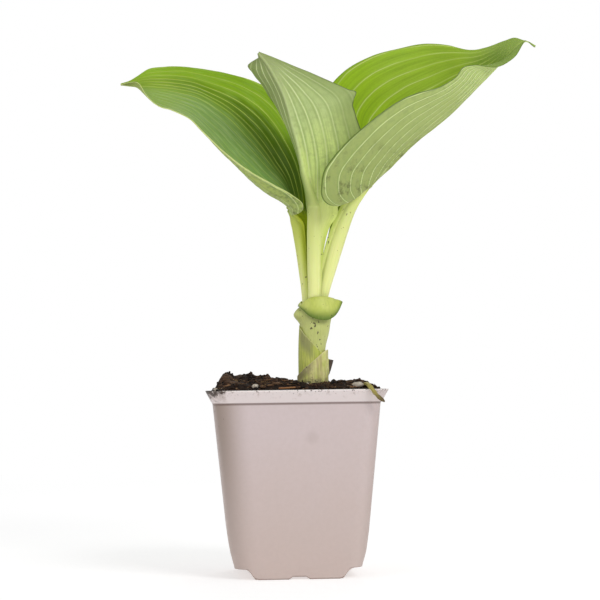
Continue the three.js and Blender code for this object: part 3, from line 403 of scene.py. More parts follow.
def leafSheet(leaf):
    # Rows along the midrib, columns across. A stalk row is an arc of slope fold + curl x, width wide.
    # A blade row starts at the midrib and ends at the margin, its heading turning by turn x^late on the way.
    # The sheet is puffed between veins, waved a little, and thickened, with a rib under the midrib.
    grid = leafGrid
    stalkS = -1 + (np.arange(grid["stalkRows"]) / grid["stalkRows"]) ** 0.85
    q = np.linspace(0, 1, grid["bladeRows"])
    bladeS = 0.55 * q**1.8 + 0.45 * (1 - (1 - q) ** 1.5)
    s = np.concatenate([stalkS, bladeS])
    x = np.linspace(0, 1, grid["columns"]) ** 1.05
    v = np.concatenate([-x[:0:-1], x])
    place, ahead = midribOf(leaf, s)
    t = np.clip(s, 0, 1)
    stalkT = np.clip(s + 1, 0, 1)
    up = curveAt(leaf["facing"], (s + 1) / 2)
    up = unit(up - (up * ahead).sum(-1, keepdims=True) * ahead)
    right = np.cross(ahead, up)
    onBlade = smooth(-0.12, 0.02, s)[:, None, None]
    depth = np.where(s > 0, leaf["depth"][-1] * (1 - t) ** 4 + 0.5 * (1 - t), curveAt(leaf["depth"], stalkT))
    girth = np.where(s > 0, 0.8 + (leaf["girth"][-1] - 0.8) * (1 - t) ** 5, curveAt(leaf["girth"], stalkT))
    shape = (len(s), len(v))
    points, outward = np.zeros(shape + (3,)), np.zeros(shape)
    for sign, side in ((-1, leaf["left"]), (1, leaf["right"])):
        mine = v * sign >= 0
        xs = np.abs(v[mine])
        order = np.argsort(xs)
        width = curveAt(side["stalk"], stalkT)[:, None]
        fold = np.radians(curveAt(side["fold"], stalkT))[:, None]
        curl = np.radians(curveAt(side["curl"], stalkT))[:, None]
        slope = fold + curl * xs
        outBy = width * (np.sin(slope) - np.sin(fold)) / curl
        upBy = width * (np.cos(fold) - np.cos(slope)) / curl
        stalk = sign * right[:, None] * outBy[..., None] + up[:, None] * upBy[..., None]
        chord = rowsAt(side["edge"], t) - midribOf(leaf, t)[0] + sign * right * tipHalf
        out = unit(chord)
        reach = np.maximum(np.linalg.norm(chord, axis=-1, keepdims=True), tipHalf)
        rise = unit(up - (up * out).sum(-1, keepdims=True) * out)
        heading = np.radians(curveAt(side["turn"], t))[:, None] * xs[order] ** side["late"]
        gaps = np.diff(xs[order])

        def summed(values):  # area under the values up to each column
            steps = (values[:, 1:] + values[:, :-1]) / 2 * gaps
            return np.concatenate([np.zeros((len(s), 1)), np.cumsum(steps, 1)], 1)

        run, lift = summed(np.cos(heading)), summed(np.sin(heading))
        end = np.hypot(run[:, -1:], lift[:, -1:])
        c, d = run[:, -1:] / end, lift[:, -1:] / end
        run, lift = (c * run + d * lift) / end, (c * lift - d * run) / end
        back = np.argsort(order)
        blade = (out[:, None] * run[:, back, None] + rise[:, None] * lift[:, back, None]) * reach[:, None]
        points[:, mine] = place[:, None] + stalk * (1 - onBlade) + blade * onBlade
        outward[:, mine] = xs * (width * (1 - onBlade[..., 0]) + reach * onBlade[..., 0])
    normals = unit(np.cross(np.gradient(points, axis=0), np.gradient(points, axis=1)))
    normals = normals * np.sign((normals * up[:, None]).sum(-1).mean())
    # veins run at constant veinU: bunched near the midrib at the foot, evenly spread further up
    power = (0.62 + (leaf["spread"] - 0.62) * smooth(0, 0.45, t))[:, None]
    count = np.where(v < 0, leaf["left"]["veins"], leaf["right"]["veins"])
    # ... and run straight past corners of the margin, because they go by the margin's smoothed distance
    weight = np.exp(-(((s[:, None] - s[None, :]) / 0.09) ** 2)) * np.gradient(s)[None, :]
    margins = np.where(v < 0, outward[:, :1], outward[:, -1:])
    share = outward / np.maximum(weight @ margins / weight.sum(1, keepdims=True), 0.5)
    veinU = count[None, :] * np.clip(share, 0, 1.5) ** power
    perVein = np.abs(np.gradient(outward, axis=1)) / np.maximum(np.abs(np.gradient(veinU, axis=1)), 1e-6)
    nearVein = np.abs(veinU - np.round(veinU))
    blade = (smooth(0.0, 0.08, s) * (1 - smooth(0.88, 0.97, s)))[:, None]
    inner = smooth(0.3, 1.0, veinU)
    puff = leaf["puff"] * (np.abs(np.sin(np.pi * veinU)) ** 0.7 - 0.5) * blade * inner
    puff = puff * (0.4 + 0.6 * np.clip(perVein / 5, 0, 1))
    waves = roughness(points, 24, leaf["seed"]) * 0.45 * (np.abs(v) ** 1.5)[None, :] * blade
    fineness = roughness(points, 5, leaf["seed"] + 50, 2) * 0.08 * blade
    points = points + normals * (puff + waves + fineness)[..., None]
    rib = depth[:, None] * np.clip(1 - (outward / girth[:, None]) ** 2, 0, 1) ** 0.7
    ridge = 0.22 * bell(nearVein * perVein / 0.55) * blade * inner * smooth(2.5, 5, perVein)
    skin = leafThick / 2 * (1 - 0.5 * np.abs(v) ** 4)[None, :]
    above = points + normals * skin[..., None]
    below = points - normals * (skin + rib + ridge)[..., None]
    rings = np.concatenate([above, below[:, ::-1]], 1)
    rows, cols = rings.shape[:2]
    faces = [gridFaces(rows, cols), stripCap(0, cols, True), stripCap((rows - 1) * cols, cols, False)]

    def both(a, b):
        return np.concatenate([a + 0 * veinU, (b + 0 * veinU)[:, ::-1]], 1)

    attributes = {
        "along": both(s[:, None], s[:, None]),
        "across": both(v[None, :], v[None, :]),
        "veinU": both(veinU, veinU),
        "veinGap": both(perVein, perVein),
        "under": both(0, 1),
        "fromRib": both(outward, outward),
    }
    return rings, faces, attributes


def leafPaint(name, look):
    # Colours run along the leaf by ramps, one for each half of each side.
    # Veins are thin lines where veinU is whole, and show only where they stand well apart.
    p = Paint(name)
    along, across, under = p.attribute("along"), p.attribute("across"), p.attribute("under")
    veinU, gapMm, fromRib = p.attribute("veinU"), p.attribute("veinGap"), p.attribute("fromRib")
    sideways = p.maths("ABSOLUTE", across)
    sided = p.times(across, look["farSign"])
    far = p.fade(sided, *look["halves"])
    isUnder = p.fade(under, 0.35, 0.65)
    blotch = p.noise(55, 4, 0.55)
    cloud = p.less(blotch, 0.5)
    mottle = p.noise(420, 3, 0.6)
    shifted = p.plus(along, p.times(cloud, 0.16))
    # distance to the nearest vein in mm, the veins wandering a little
    veinAt = p.plus(veinU, p.times(p.less(p.noise(30, 2, 0.5), 0.5), 0.3))
    off = p.maths("ABSOLUTE", p.less(veinAt, p.maths("ROUND", veinAt)))
    offMm = p.times(off, gapMm)
    shown = p.times(p.fade(gapMm, 1.3, 3.2), p.fade(along, -0.03, 0.06), p.fade(veinU, 0.25, 0.7),
                    p.fade(fromRib, 1, 3), p.fade(p.noise(28, 2, 0.5), 0.36, 0.56, 0.45, 1))
    vein = p.times(p.fade(offMm, look["veinMm"] * 0.3, look["veinMm"], 1, 0), shown)
    # streaks along the veins, short hatching across them and a coarser bloom
    lines = p.streaks(veinU, 9, along, 5)
    hatch = p.streaks(veinU, 16, along, 130, 2, 0.6)
    bloom = p.streaks(veinU, 5, along, 9, 3, 0.6)
    fine = p.fade(gapMm, 2.2, 5.5)

    # upper side: ramps, patches with painted light and shade, streaks, then the dark valleys, soft halos and
    # pale lines of the veins
    top = p.blend(far, p.ramp(shifted, look["nearTop"]), p.ramp(shifted, look["farTop"]))
    place = p.plus(sided, p.times(cloud, 0.22))
    for patch in look["patches"]:
        patchAt = p.times(p.band(place, *patch["x"]), p.band(shifted, *patch["t"]))
        top = p.over(top, patch["color"], patchAt, patch["share"])
    top = p.over(top, look["lineTop"], p.fade(lines, 0.35, 0.7), 0.28, fine)
    bloomAt = p.plus(p.times(p.less(1.0, far), 0.7), 0.3)
    top = p.over(top, look["bloom"], p.fade(bloom, 0.42, 0.68), bloomAt, look["bloomShare"])
    top = p.over(top, look["lineTop"], p.fade(hatch, 0.45, 0.75), 0.16, fine)
    top = p.over(top, look["lineTop"], p.fade(off, 0.3, 0.5), shown, p.fade(gapMm, 2, 4), look["valley"])
    veinShare = p.between(far, look["veinNear"], look["veinFar"])
    top = p.over(top, look["veinTop"], p.fade(offMm, 0.2, 1.6, 1, 0), shown, 0.14, veinShare)
    top = p.over(top, look["veinTop"], vein, veinShare)
    top = p.over(top, look["veinTop"], p.fade(fromRib, 0.2, 0.8, 1, 0), p.fade(along, 0.05, 0.2), 0.35)

    # underside: pale and matt, with raised veins, painted shade on their flanks and towards the margins,
    # mottled and soiled low down
    lowHalf = p.less(1.0, p.times(far, look["farClean"]))
    below = p.blend(far, p.ramp(shifted, look["nearUnder"]), p.ramp(shifted, look["farUnder"]))
    below = p.over(below, look["lineUnder"], p.fade(lines, 0.4, 0.75), 0.3, fine)
    below = p.over(below, look["lineUnder"], p.fade(hatch, 0.45, 0.75), 0.14, fine)
    below = p.over(below, look["mottle"], p.fade(mottle, 0.42, 0.66), p.fade(blotch, 0.35, 0.6, 0.35, 1),
                   lowHalf, p.fade(along, 0.68, 0.84, 1, 0.2), look["mottleShare"])
    # painted shade along the flanks of the raised veins
    below = p.over(below, look["lineUnder"], p.band(offMm, 0.35, 0.8, 0.8, 1.8), shown, look["flankShade"])
    below = p.over(below, look["veinUnder"], vein, look["veinBelow"])
    keel = p.fade(fromRib, 0.2, 0.7, 1, 0)
    below = p.over(below, look["veinUnder"], keel, p.fade(along, 0.0, 0.1), look["keelShare"])
    outer = p.fade(sideways, 0.45, 0.95)
    below = p.over(below, look["sideShade"], outer, p.fade(along, 0.1, 0.25), look["sideShare"])
    below = p.over(below, look["dirt"], p.fade(p.noise(150, 5, 0.75), 0.5, 0.74),
                   p.fade(shifted, 0.12, 0.45, 1, 0), lowHalf, look["smudge"])
    sheet = p.blend(isUnder, top, below)
    # a thin line along the margins: painted shade on the centre and right leaves, a pale line on the left
    # leaf
    edgeAt = p.fade(sideways, 1 - look["edgeWide"], 1 - look["edgeWide"] * 0.3)
    edgeShare = p.between(far, look["edgeNear"], look["edgeFar"])
    sheet = p.over(sheet, look["edge"], edgeAt, edgeShare, p.fade(along, 0.0, 0.08))

    # the stalk: pale outside, deeper and yellower in its groove, running up into the foot of the veins
    stalk = p.ramp(along, look["stalk"])
    stalk = p.over(stalk, look["stalkLine"], p.fade(p.streaks(across, 13, along, 3), 0.42, 0.7, 0, 0.3))
    stalk = p.over(stalk, look["groove"], p.fade(under, 0.65, 0.35))
    # darker along both sides of the stalk: partly its own olive tint, partly painted shade where
    # neighbouring stalks face each other
    rimmed = p.fade(sideways, 0.5, 0.92)
    stalk = p.over(stalk, look["rimTintAndShade"], rimmed, p.fade(along, -0.7, -0.15), look["rimShare"])
    fan = p.times(p.less(p.streaks(across, 16, along, 2, 1), 0.5), 0.2)
    reach = p.plus(along, p.times(sideways, look["fanSlope"]), fan)
    isStalk = p.fade(reach, look["stalkFrom"], look["stalkTo"], 1, 0)
    color = p.blend(isStalk, sheet, stalk)
    color = p.over(color, look["veinStalk"], vein, isUnder, isStalk, 0.75)
    gritAt = p.fade(p.plus(along, cloud), -0.25, 0.15, 1, 0)
    color = p.over(color, look["dirt"], p.fade(p.noise(650, 1, 0.5), 0.73, 0.76), gritAt, look["grit"])
    rough = p.between(isUnder, look["roughTop"], look["roughUnder"])
    rough = p.plus(rough, p.fade(mottle, 0.2, 0.8, -0.05, 0.08))
    normal = p.bump(p.times(vein, p.fade(under, 0.35, 0.65, -1, 1)), 0.5, 0.0002)
    normal = p.bump(p.times(lines, fine), 0.3, 0.00025, normal)
    skin = p.times(p.noise(2600, 2, 0.5), p.fade(along, 0.68, 0.84, 1, 0.15))
    normal = p.bump(skin, 0.1, 0.0001, normal)
    return p.finish(color, rough, normal, Subsurface_Weight=look["through"], Subsurface_Scale=0.0012,
                    Subsurface_Radius=(0.7, 1.0, 0.3), Specular_IOR_Level=look["shine"])


baseLook = {
    "farSign": 1, "halves": (-0.015, 0.015), "veinMm": 0.38, "veinNear": 0.3, "veinFar": 0.6,
    "veinBelow": 0.7, "keelShare": 0.6, "patches": [], "lineTop": tone(92, 124, 24),
    "veinTop": tone(176, 198, 96),
    "nearUnder": stops((0, 176, 192, 124), (0.5, 188, 206, 136), (1, 180, 198, 124)),
    "farUnder": stops((0, 176, 192, 124), (0.5, 180, 198, 128), (1, 180, 198, 124)),
    "lineUnder": tone(140, 162, 92), "veinUnder": tone(208, 220, 156), "dirt": tone(74, 70, 44),
    "smudge": 0.0, "grit": 0.8, "edge": tone(196, 212, 130), "edgeWide": 0.03, "edgeFar": 0.2,
    "edgeNear": 0.2,
    "stalk": stops((-1, 240, 240, 182), (-0.5, 236, 240, 162), (-0.1, 214, 222, 142), (0.1, 202, 216, 132)),
    "stalkLine": tone(206, 216, 116), "groove": tone(172, 188, 30), "fanSlope": 0.05, "stalkFrom": -0.04,
    "stalkTo": 0.06, "roughTop": 0.42, "roughUnder": 0.58, "through": 0.2, "shine": 0.08,
    "bloom": tone(168, 194, 132), "bloomShare": 0.0, "sideShade": tone(130, 146, 84), "sideShare": 0.0,
    "flankShade": 0.4, "valley": 0.12, "mottle": tone(140, 156, 98), "mottleShare": 0.45, "farClean": 0.8,
    "rimShare": 0.65, "rimTintAndShade": tone(164, 184, 44), "veinStalk": tone(238, 242, 188),
}
leftLook = dict(
    baseLook,
    farTop=stops((0, 84, 112, 0), (0.3, 96, 130, 0), (0.65, 112, 148, 12), (0.85, 134, 166, 40),
        (1, 142, 172, 54)),
    # the near half's bluish cast is a painted reflection of the sky
    nearTop=stops((0, 108, 148, 40), (0.25, 130, 168, 84), (0.6, 134, 168, 90), (0.85, 144, 174, 80),
        (1, 146, 174, 70)),
    # patches: painted light over the far half's outer part, and painted shade in the fold beside the midrib
    patches=[
        {"x": (0.42, 0.7, 1.3, 1.5), "t": (0.08, 0.26, 0.85, 0.98), "share": 0.85,
         "color": tone(146, 184, 40)},
        {"x": (-0.08, 0.08, 0.3, 0.62), "t": (0.0, 0.1, 0.36, 0.62), "share": 0.85,
         "color": tone(74, 104, 0)},
    ],
    veinNear=0.34, veinFar=0.9, veinMm=0.3, veinTop=tone(196, 214, 100), edge=tone(216, 224, 150),
    edgeNear=0.8, edgeFar=0.3, edgeWide=0.012, smudge=0.9, mottleShare=0.8, mottle=tone(112, 126, 80),
    through=0.25, halves=(-0.26, 0.08), bloomShare=0.5,
    nearUnder=stops((0, 172, 186, 108), (0.3, 168, 182, 100), (0.88, 170, 186, 106), (1, 112, 124, 62)),
    farUnder=stops((0, 176, 192, 124), (0.9, 168, 186, 112), (1, 112, 124, 62)),
    stalk=stops((-1, 250, 250, 206), (-0.5, 234, 238, 160), (-0.1, 198, 208, 104), (0.05, 160, 176, 84)),
    rimShare=0.75, rimTintAndShade=tone(176, 188, 20))
centreLook = dict(
    baseLook, farTop=stops((0, 110, 140, 40), (1, 120, 150, 50)),
    nearTop=stops((0, 110, 140, 40), (1, 120, 150, 50)),
    nearUnder=stops((0, 232, 242, 150), (0.25, 216, 232, 144), (0.6, 182, 198, 134), (0.8, 164, 178, 120),
        (1, 146, 158, 104)),
    farUnder=stops((0, 214, 226, 142), (0.4, 176, 190, 126), (0.7, 146, 158, 106), (1, 134, 146, 94)),
    # the centre leaf's dark margin line is painted shade along the rim of its fold
    stalkFrom=-0.08, stalkTo=0.3, fanSlope=0.22, keelShare=0.25, edge=tone(88, 96, 60), edgeNear=0.85,
    edgeFar=0.8, edgeWide=0.022, sideShare=0.55, mottleShare=0.3, veinBelow=0.85, farClean=0, flankShade=0.5,
    veinMm=0.42, veinUnder=tone(212, 224, 166))
rightLook = dict(
    baseLook, farSign=-1,
    farTop=stops((0, 132, 170, 0), (0.2, 156, 192, 28), (0.48, 162, 194, 56), (0.62, 150, 180, 52),
        (0.74, 148, 176, 62), (0.85, 140, 164, 78), (1, 146, 170, 84)),
    nearTop=stops((0, 118, 150, 40), (0.5, 130, 160, 50), (0.75, 132, 156, 76), (1, 138, 162, 82)),
    # the first patch is painted shade in the crease beside the midrib
    patches=[
        {"x": (0, 0.05, 0.2, 0.5), "t": (0.05, 0.15, 0.5, 0.7), "share": 0.5,
         "color": tone(104, 138, 0)},
        {"x": (-0.5, -0.1, 0.5, 0.9), "t": (0.64, 0.74, 0.8, 0.88), "share": 0.6,
         "color": tone(94, 124, 44)},
    ],
    nearUnder=stops((0, 152, 162, 98), (0.2, 156, 168, 100), (0.55, 168, 182, 110), (0.8, 188, 204, 130),
        (1, 172, 188, 112)),
    veinFar=1.0, veinBelow=0.95, veinMm=0.46, flankShade=0.55, veinTop=tone(190, 210, 108), farClean=0.3,
    smudge=0.9, bloom=tone(116, 150, 24), bloomShare=0.22, stalkFrom=-0.02, stalkTo=0.05, keelShare=0.4,
    # the right leaf's dark margin line is a painted contact shadow
    edge=tone(84, 106, 40), edgeNear=0.75, edgeFar=0.3, edgeWide=0.016)

print("leaves")
for side, leaf, look in (("left", leftLeaf, leftLook), ("centre", centreLeaf, centreLook),
                         ("right", rightLeaf, rightLook)):
    rings, faces, attributes = leafSheet(leaf)
    paint = leafPaint("leaf_" + side + "_paint", look)
    makePiece("blade_" + side, rings, faces, paint, "leaf", attributes, ["leaf_" + side])


pot = {
    "outer": [(0, 31.3, 9), (5.2, 31.8, 9), (13, 33.8, 9), (22, 35.1, 9), (86.8, 41.4, 9), (87.1, 41.9, 9),
        (92.8, 44.9, 8.5), (93.2, 45, 8.5), (93.4, 44.8, 8.5)],
    "inner": [(1.4, 30.5, 8), (13, 32.8, 8), (22, 34.1, 8), (86.2, 40.35, 8), (91.8, 43.4, 7.5),
        (93.2, 43.75, 7.5)],
    "strip": (22, 25.3, 5.2), "groove": (5.2, 1.3), "floor": 1.4, "cornerSteps": 18,
    "sideCuts": [0.15, 0.2332, 0.45, 0.7, 0.9, 0.9865], "stripTurn": 19.5,
    "footRows": [0, 0.5, 1.4, 3, 5.2, 5.8, 7, 9, 11],
    "bandRows": [86.4, 86.75, 86.9, 87.1, 87.5, 89, 91, 92.4, 92.9, 93.15, 93.3, 93.4],
    "lip": [(93.45, 44.5), (93.4, 44.2), (93.25, 43.95)], "lipCorner": 8.2,
    "innerRows": [92.6, 91.8, 89.5, 86.2, 70, 50, 30, 22, 13, 6, 1.4],
    "floorShares": [0.93, 0.84, 0.72, 0.58, 0.42, 0.25, 0.1], "padRadius": 4.4,
}


def potRing(half, corner, z):
    # One rounded square: four straight sides cut at the base's breaks, and four quarter circles
    cuts = pot["sideCuts"]
    straight = np.array([-1, *[-x for x in cuts[::-1]], 0, *cuts])
    fine = pot["stripTurn"]  # degrees into the corner where the slant of the base's strips ends
    turn = np.concatenate([np.linspace(0, fine, 5)[:-1], np.linspace(fine, 90, pot["cornerSteps"] - 4)])
    turn = np.radians(turn)[:-1]
    long = half - corner
    ring = []
    for k in range(4):
        side = np.stack([straight * long, np.full(len(straight), -half)], -1)
        bend = np.stack([long + corner * np.sin(turn), -long - corner * np.cos(turn)], -1)
        c, d = math.cos(k * math.pi / 2), math.sin(k * math.pi / 2)
        part = np.concatenate([side, bend])
        ring.append(part @ np.array([[c, d], [-d, c]]))
    ring = np.concatenate(ring)
    return np.concatenate([ring, np.full((len(ring), 1), z)], 1)


def baseLift(x):  # raised side strips with slanting edges, and a shallow middle groove
    strip, groove = pot["strip"], pot["groove"]
    lift = strip[2] * np.clip((np.abs(x) - strip[0]) / (strip[1] - strip[0]), 0, 1)
    return np.maximum(lift, np.where(np.abs(x) < groove[0], groove[1], 0))


def potWall():
    # Rings carried up the outer profile, over the rim and down the inside, the lowest on the base's relief
    outer, inner = np.array(pot["outer"], float), np.array(pot["inner"], float)

    def at(profile, z):
        return [np.interp(z, profile[:, 0], profile[:, k]) for k in (1, 2)]

    rings = []
    outerZ = np.concatenate([pot["footRows"], np.arange(13, 86, 5.2), pot["bandRows"]])
    for z in outerZ:
        half, corner = at(outer, z)
        ring = potRing(half, corner, z)
        if z < 9:  # squeezed up to the base's relief, each point on the wall at its own height
            lift = baseLift(potRing(outer[1, 1], 9, z)[:, 0])
            high = lift + z * (1 - lift / 9)
            ring[:, :2] *= (np.interp(high, outer[:, 0], outer[:, 1]) / half)[:, None]
            ring[:, 2] = high
        rings.append(ring)
    for z, half in pot["lip"]:
        rings.append(potRing(half, pot["lipCorner"], z))
    for z in pot["innerRows"]:
        half, corner = at(inner, z)
        rings.append(potRing(half, corner, z))
    rings = np.array(rings)
    lift = baseLift(rings[..., 0])
    firstOuter = len(outerZ)
    rise = np.concatenate([outerZ, np.full(len(rings) - firstOuter, 20)])
    inside = rings[firstOuter:, :, 2]
    lifted = inside + lift[firstOuter:] * (1 - (inside - 1.4) / 7.6)
    rings[firstOuter:, :, 2] = np.where(inside < 9, lifted, inside)
    return rings, rise


def potBody():
    rings, rise = potWall()
    rows, cols = rings.shape[:2]
    faces = [gridFaces(rows, cols)]
    points = [rings.reshape(-1, 3)]
    count = rows * cols
    # the floor's two skins are rings drawn in to the middle, lifted by the same relief
    j = np.arange(cols)
    following = (j + 1) % cols
    for row, level in ((0, 0), (rows - 1, pot["floor"])):
        inRings = np.array([rings[row] * [share, share, 1] for share in pot["floorShares"]])
        inRings[..., 2] = baseLift(inRings[..., 0]) + level
        centre = baseLift(np.array([0.0]))[0] + level
        if row == 0:  # a round pad under the middle
            pad = np.hypot(inRings[..., 0], inRings[..., 1]) < pot["padRadius"]
            inRings[..., 2] = np.where(pad, 0, inRings[..., 2])
            centre = 0
        points += [inRings.reshape(-1, 3), np.array([[0, 0, centre]])]
        end = count + len(inRings) * cols
        joint = np.stack([row * cols + j, row * cols + following, count + following, count + j], -1)
        fan = np.stack([end - cols + j, end - cols + following, np.full(cols, end)], -1)
        skins = [gridFaces(len(inRings), cols) + count, joint, fan]
        faces += skins if row else [skin[:, ::-1] for skin in skins]
        count = end + 1
    foot = np.full(count, 20.0)
    foot[:rows * cols] = np.repeat(rise, cols)
    return np.concatenate(points), faces, {"foot": foot}


def potPaint():
    # Satin moulded plastic, heights and widths in metres: a greyer top and pinker foot, faint flow marks,
    # fine grain, and dirt round the rim
    p = Paint("pot_plastic")
    x, y, z = p.axes()
    height = p.plus(z, p.times(p.less(p.noise(22, 3, 0.5), 0.5), 0.05))
    color = p.blend(p.fade(height, 0.0, 0.09), tone(199, 181, 175), tone(203, 188, 188))
    color = p.over(color, tone(190, 172, 162), p.fade(p.noise(9, 2, 0.5), 0.3, 0.7, 0, 0.25))
    color = p.over(color, tone(176, 158, 150), p.fade(p.noise(500, 3, 0.6), 0.3, 0.7, 0, 0.1))
    rim = p.fade(z, 0.0868, 0.0875)
    wall = p.less(1.0, rim)
    color = p.over(color, tone(222, 212, 210), rim, 0.7)
    # painted shade: darker at the band's right end where the dry stalk's shadow falls, and on the wall's
    # upper left where it turns from the light, beside a lighter corner strip that is a painted highlight
    rightShadeX = p.plus(x, p.times(p.noise(60, 3, 0.6), 0.008))
    color = p.over(color, tone(140, 120, 110), p.fade(rightShadeX, 0.036, 0.048), rim, 0.35)
    side = p.maths("DIVIDE", x, p.plus(p.times(z, 0.105), 0.0335))  # from -1 to 1 between the wall's corners
    strip = p.times(p.fade(side, -0.94, -0.55, 1, 0), p.fade(side, -1.02, -0.93, 0.25, 1))
    color = p.over(color, tone(140, 122, 108), strip, p.fade(z, 0.0, 0.086, 0.3, 1), wall, 0.8)
    # painted shade down the wall's right edge, where the corner rounds away
    color = p.over(color, tone(160, 140, 130), p.fade(side, 0.82, 1.0), wall, 0.4)
    # painted shade and light: a dark shadow line under the band's overhang, a painted highlight along the
    # top edge and a dark shadow line round the foot
    color = p.over(color, tone(104, 84, 76), p.band(z, 0.0858, 0.0866, 0.087, 0.0876), 0.7)
    color = p.over(color, tone(244, 238, 234), p.fade(z, 0.0925, 0.0931), 0.6)
    color = p.over(color, tone(112, 88, 78), p.fade(p.attribute("foot"), 0.2, 0.8, 1, 0), 0.6)
    # a faint round mark left by the mould, high on the front
    squares = [p.maths("POWER", p.less(value, middle), 2.0) for value, middle in ((x, 0.0068), (z, 0.07))]
    mark = p.fade(p.maths("SQRT", p.plus(*squares)), 0.001, 0.0045, 1, 0)
    color = p.over(color, tone(140, 122, 112), mark, p.fade(y, -0.03, -0.035), 0.16)
    # dust and crumbs of soil at the rim, thicker towards its left end, and caked on the left corner
    leftEnd = p.fade(x, -0.0445, -0.028, 1, 0)
    dust = p.fade(p.plus(p.noise(260, 5, 0.7), p.times(leftEnd, 0.2)), 0.56, 0.72)
    color = p.over(color, tone(126, 102, 84), p.fade(z, 0.084, 0.0935), dust, 0.45)
    crumbs = p.fade(p.plus(p.noise(900, 3, 0.6), p.times(leftEnd, 0.12)), 0.6, 0.66)
    color = p.over(color, tone(58, 42, 32), p.fade(z, 0.09, 0.0932), crumbs, 0.75)
    nearCorner = p.times(p.fade(x, -0.043, -0.033, 1, 0), 0.22)
    caked = p.plus(p.noise(520, 4, 0.65), p.plus(nearCorner, p.fade(z, 0.088, 0.0928, -0.14, 0.1)))
    color = p.over(color, tone(52, 36, 24), p.fade(caked, 0.62, 0.76), p.fade(x, -0.036, -0.03, 1, 0), 0.92)
    normal = p.bump(p.noise(3200, 2, 0.5), 0.10, 0.0001)
    normal = p.bump(p.noise(40, 2, 0.5), 0.12, 0.0015, normal)
    rough = p.fade(p.noise(180, 4, 0.6), 0.2, 0.8, 0.42, 0.56)
    return p.finish(color, rough, normal, Subsurface_Weight=0.06, Subsurface_Radius=(1, 0.7, 0.6),
                    Subsurface_Scale=0.001, Specular_IOR_Level=0.45)


print("pot")
points, faces, attributes = potBody()
makePiece("nursery_pot", points, faces, potPaint(), "plastic", attributes, ["pot"])


soil = {
    "edge": 92.5, "rise": 3, "half": 43.2, "squareness": 9, "mound": (-23, 4, 3.6, 18, 27),
    "lumps": [(-33, 4, 4.4, 3.8), (-23.2, 2, 1.9, 3.6), (-12.4, 6, 2, 3.8), (-39, 2, 5.2, 3.8),
        (-4, 24, 2.4, 4.4), (-30, 28, 2, 5), (2, -18, 1.4, 4.5), (26, 14, 1.3, 5), (33, -14, 1.1, 4),
        (22, -30, 0.9, 4), (-10, -30, 0.9, 4.5)],
    "stem": (10, 1), "stemTop": 96.0, "underside": 86.0, "around": 620, "rows": 112,
}


def soilHeight(x, y):
    # Edge height, a mound, eleven broad lumps, then ever finer crumbling
    mx, my, high, wide, deep = soil["mound"]
    total = soil["rise"] + high * bell((x - mx) / wide) * bell((y - my) / deep)
    for lx, ly, lumpHigh, lumpWide in soil["lumps"]:
        total = total + lumpHigh * bell((x - lx) / lumpWide) * bell((y - ly) / lumpWide)
    inside = 1 - np.maximum(np.abs(x), np.abs(y)) / soil["half"]
    flat = np.stack([x, y, 0 * x], -1)
    clods = 1.5 * roughness(flat, 7, 4, 2) + 0.8 * (0.5 - np.abs(roughness(flat, 3.4, 9, 3)))
    grains = 0.35 * roughness(flat, 1.3, 12, 2)
    nearStem = bell(np.hypot(x - soil["stem"][0], y - soil["stem"][1]) / 12)
    crumbling = clods * (1 - 0.6 * nearStem) + grains
    return soil["edge"] + total * smooth(0, 0.22, inside) + crumbling * smooth(0, 0.18, inside)


def soilBody():
    # Rounded squares drawn in to the stem, from the pot's wall inwards, closed underneath
    a = np.linspace(0, 2 * math.pi, soil["around"], endpoint=False)
    c, d = np.cos(a), np.sin(a)
    power = soil["squareness"]
    reach = soil["half"] / (np.abs(c) ** power + np.abs(d) ** power) ** (1 / power)
    edge = np.stack([reach * c, reach * d], -1)
    stem = np.array(soil["stem"])
    q = np.linspace(0, 1, soil["rows"], endpoint=False)
    flat = edge[None] * (1 - q[:, None, None]) + stem * q[:, None, None]
    top = np.concatenate([flat, soilHeight(flat[..., 0], flat[..., 1])[..., None]], -1)
    skirt = np.concatenate([flat[:1] * 0.93, np.full((1, len(a), 1), soil["underside"])], -1)
    return closedRings(np.concatenate([skirt, top]), [0, 0, soil["underside"]], [*stem, soil["stemTop"]])


def soilPaint():
    # Near-black peat with brown crumbs, tan fibres and a few pale grains
    p = Paint("soil_peat")
    fine = p.noise(900, 5, 0.7)
    mid = p.noise(260, 4, 0.65)
    color = p.blend(p.fade(fine, 0.3, 0.7), tone(14, 9, 7), tone(50, 35, 26))
    color = p.over(color, tone(88, 62, 44), p.fade(mid, 0.55, 0.78, 0, 0.7))
    cells = p.fill(p.add("ShaderNodeTexVoronoi"), Vector=p.place, Scale=700).outputs
    pick = p.add("ShaderNodeSeparateColor", cells["Color"]).outputs
    away = cells["Distance"]
    color = p.over(color, tone(132, 104, 76), p.fade(pick[0], 0.9, 0.93), p.fade(away, 0.2, 0.5, 1, 0))
    color = p.over(color, tone(196, 184, 164), p.fade(pick[1], 0.975, 0.985), p.fade(away, 0.2, 0.4, 1, 0))
    normal = p.bump(fine, 0.6, 0.0008)
    normal = p.bump(p.noise(2500, 3, 0.6), 0.4, 0.0003, normal)
    return p.finish(color, p.fade(mid, 0.3, 0.7, 0.75, 0.98), normal, Specular_IOR_Level=0.25)


print("soil")
makePiece("peat_soil", *soilBody(), soilPaint(), "soil", None, ["soil"])

# reach: how far from the pot's middle the bits may lie, in mm; sink: the share of its size a crumb stands up
loose = {"seed": 11, "crumbs": 1000, "crumbSizes": (0.35, 1.25), "sink": 0.2, "crumbReach": 42,
         "ribbonReach": 38, "clearOfStem": 9}
rng = np.random.default_rng(loose["seed"])


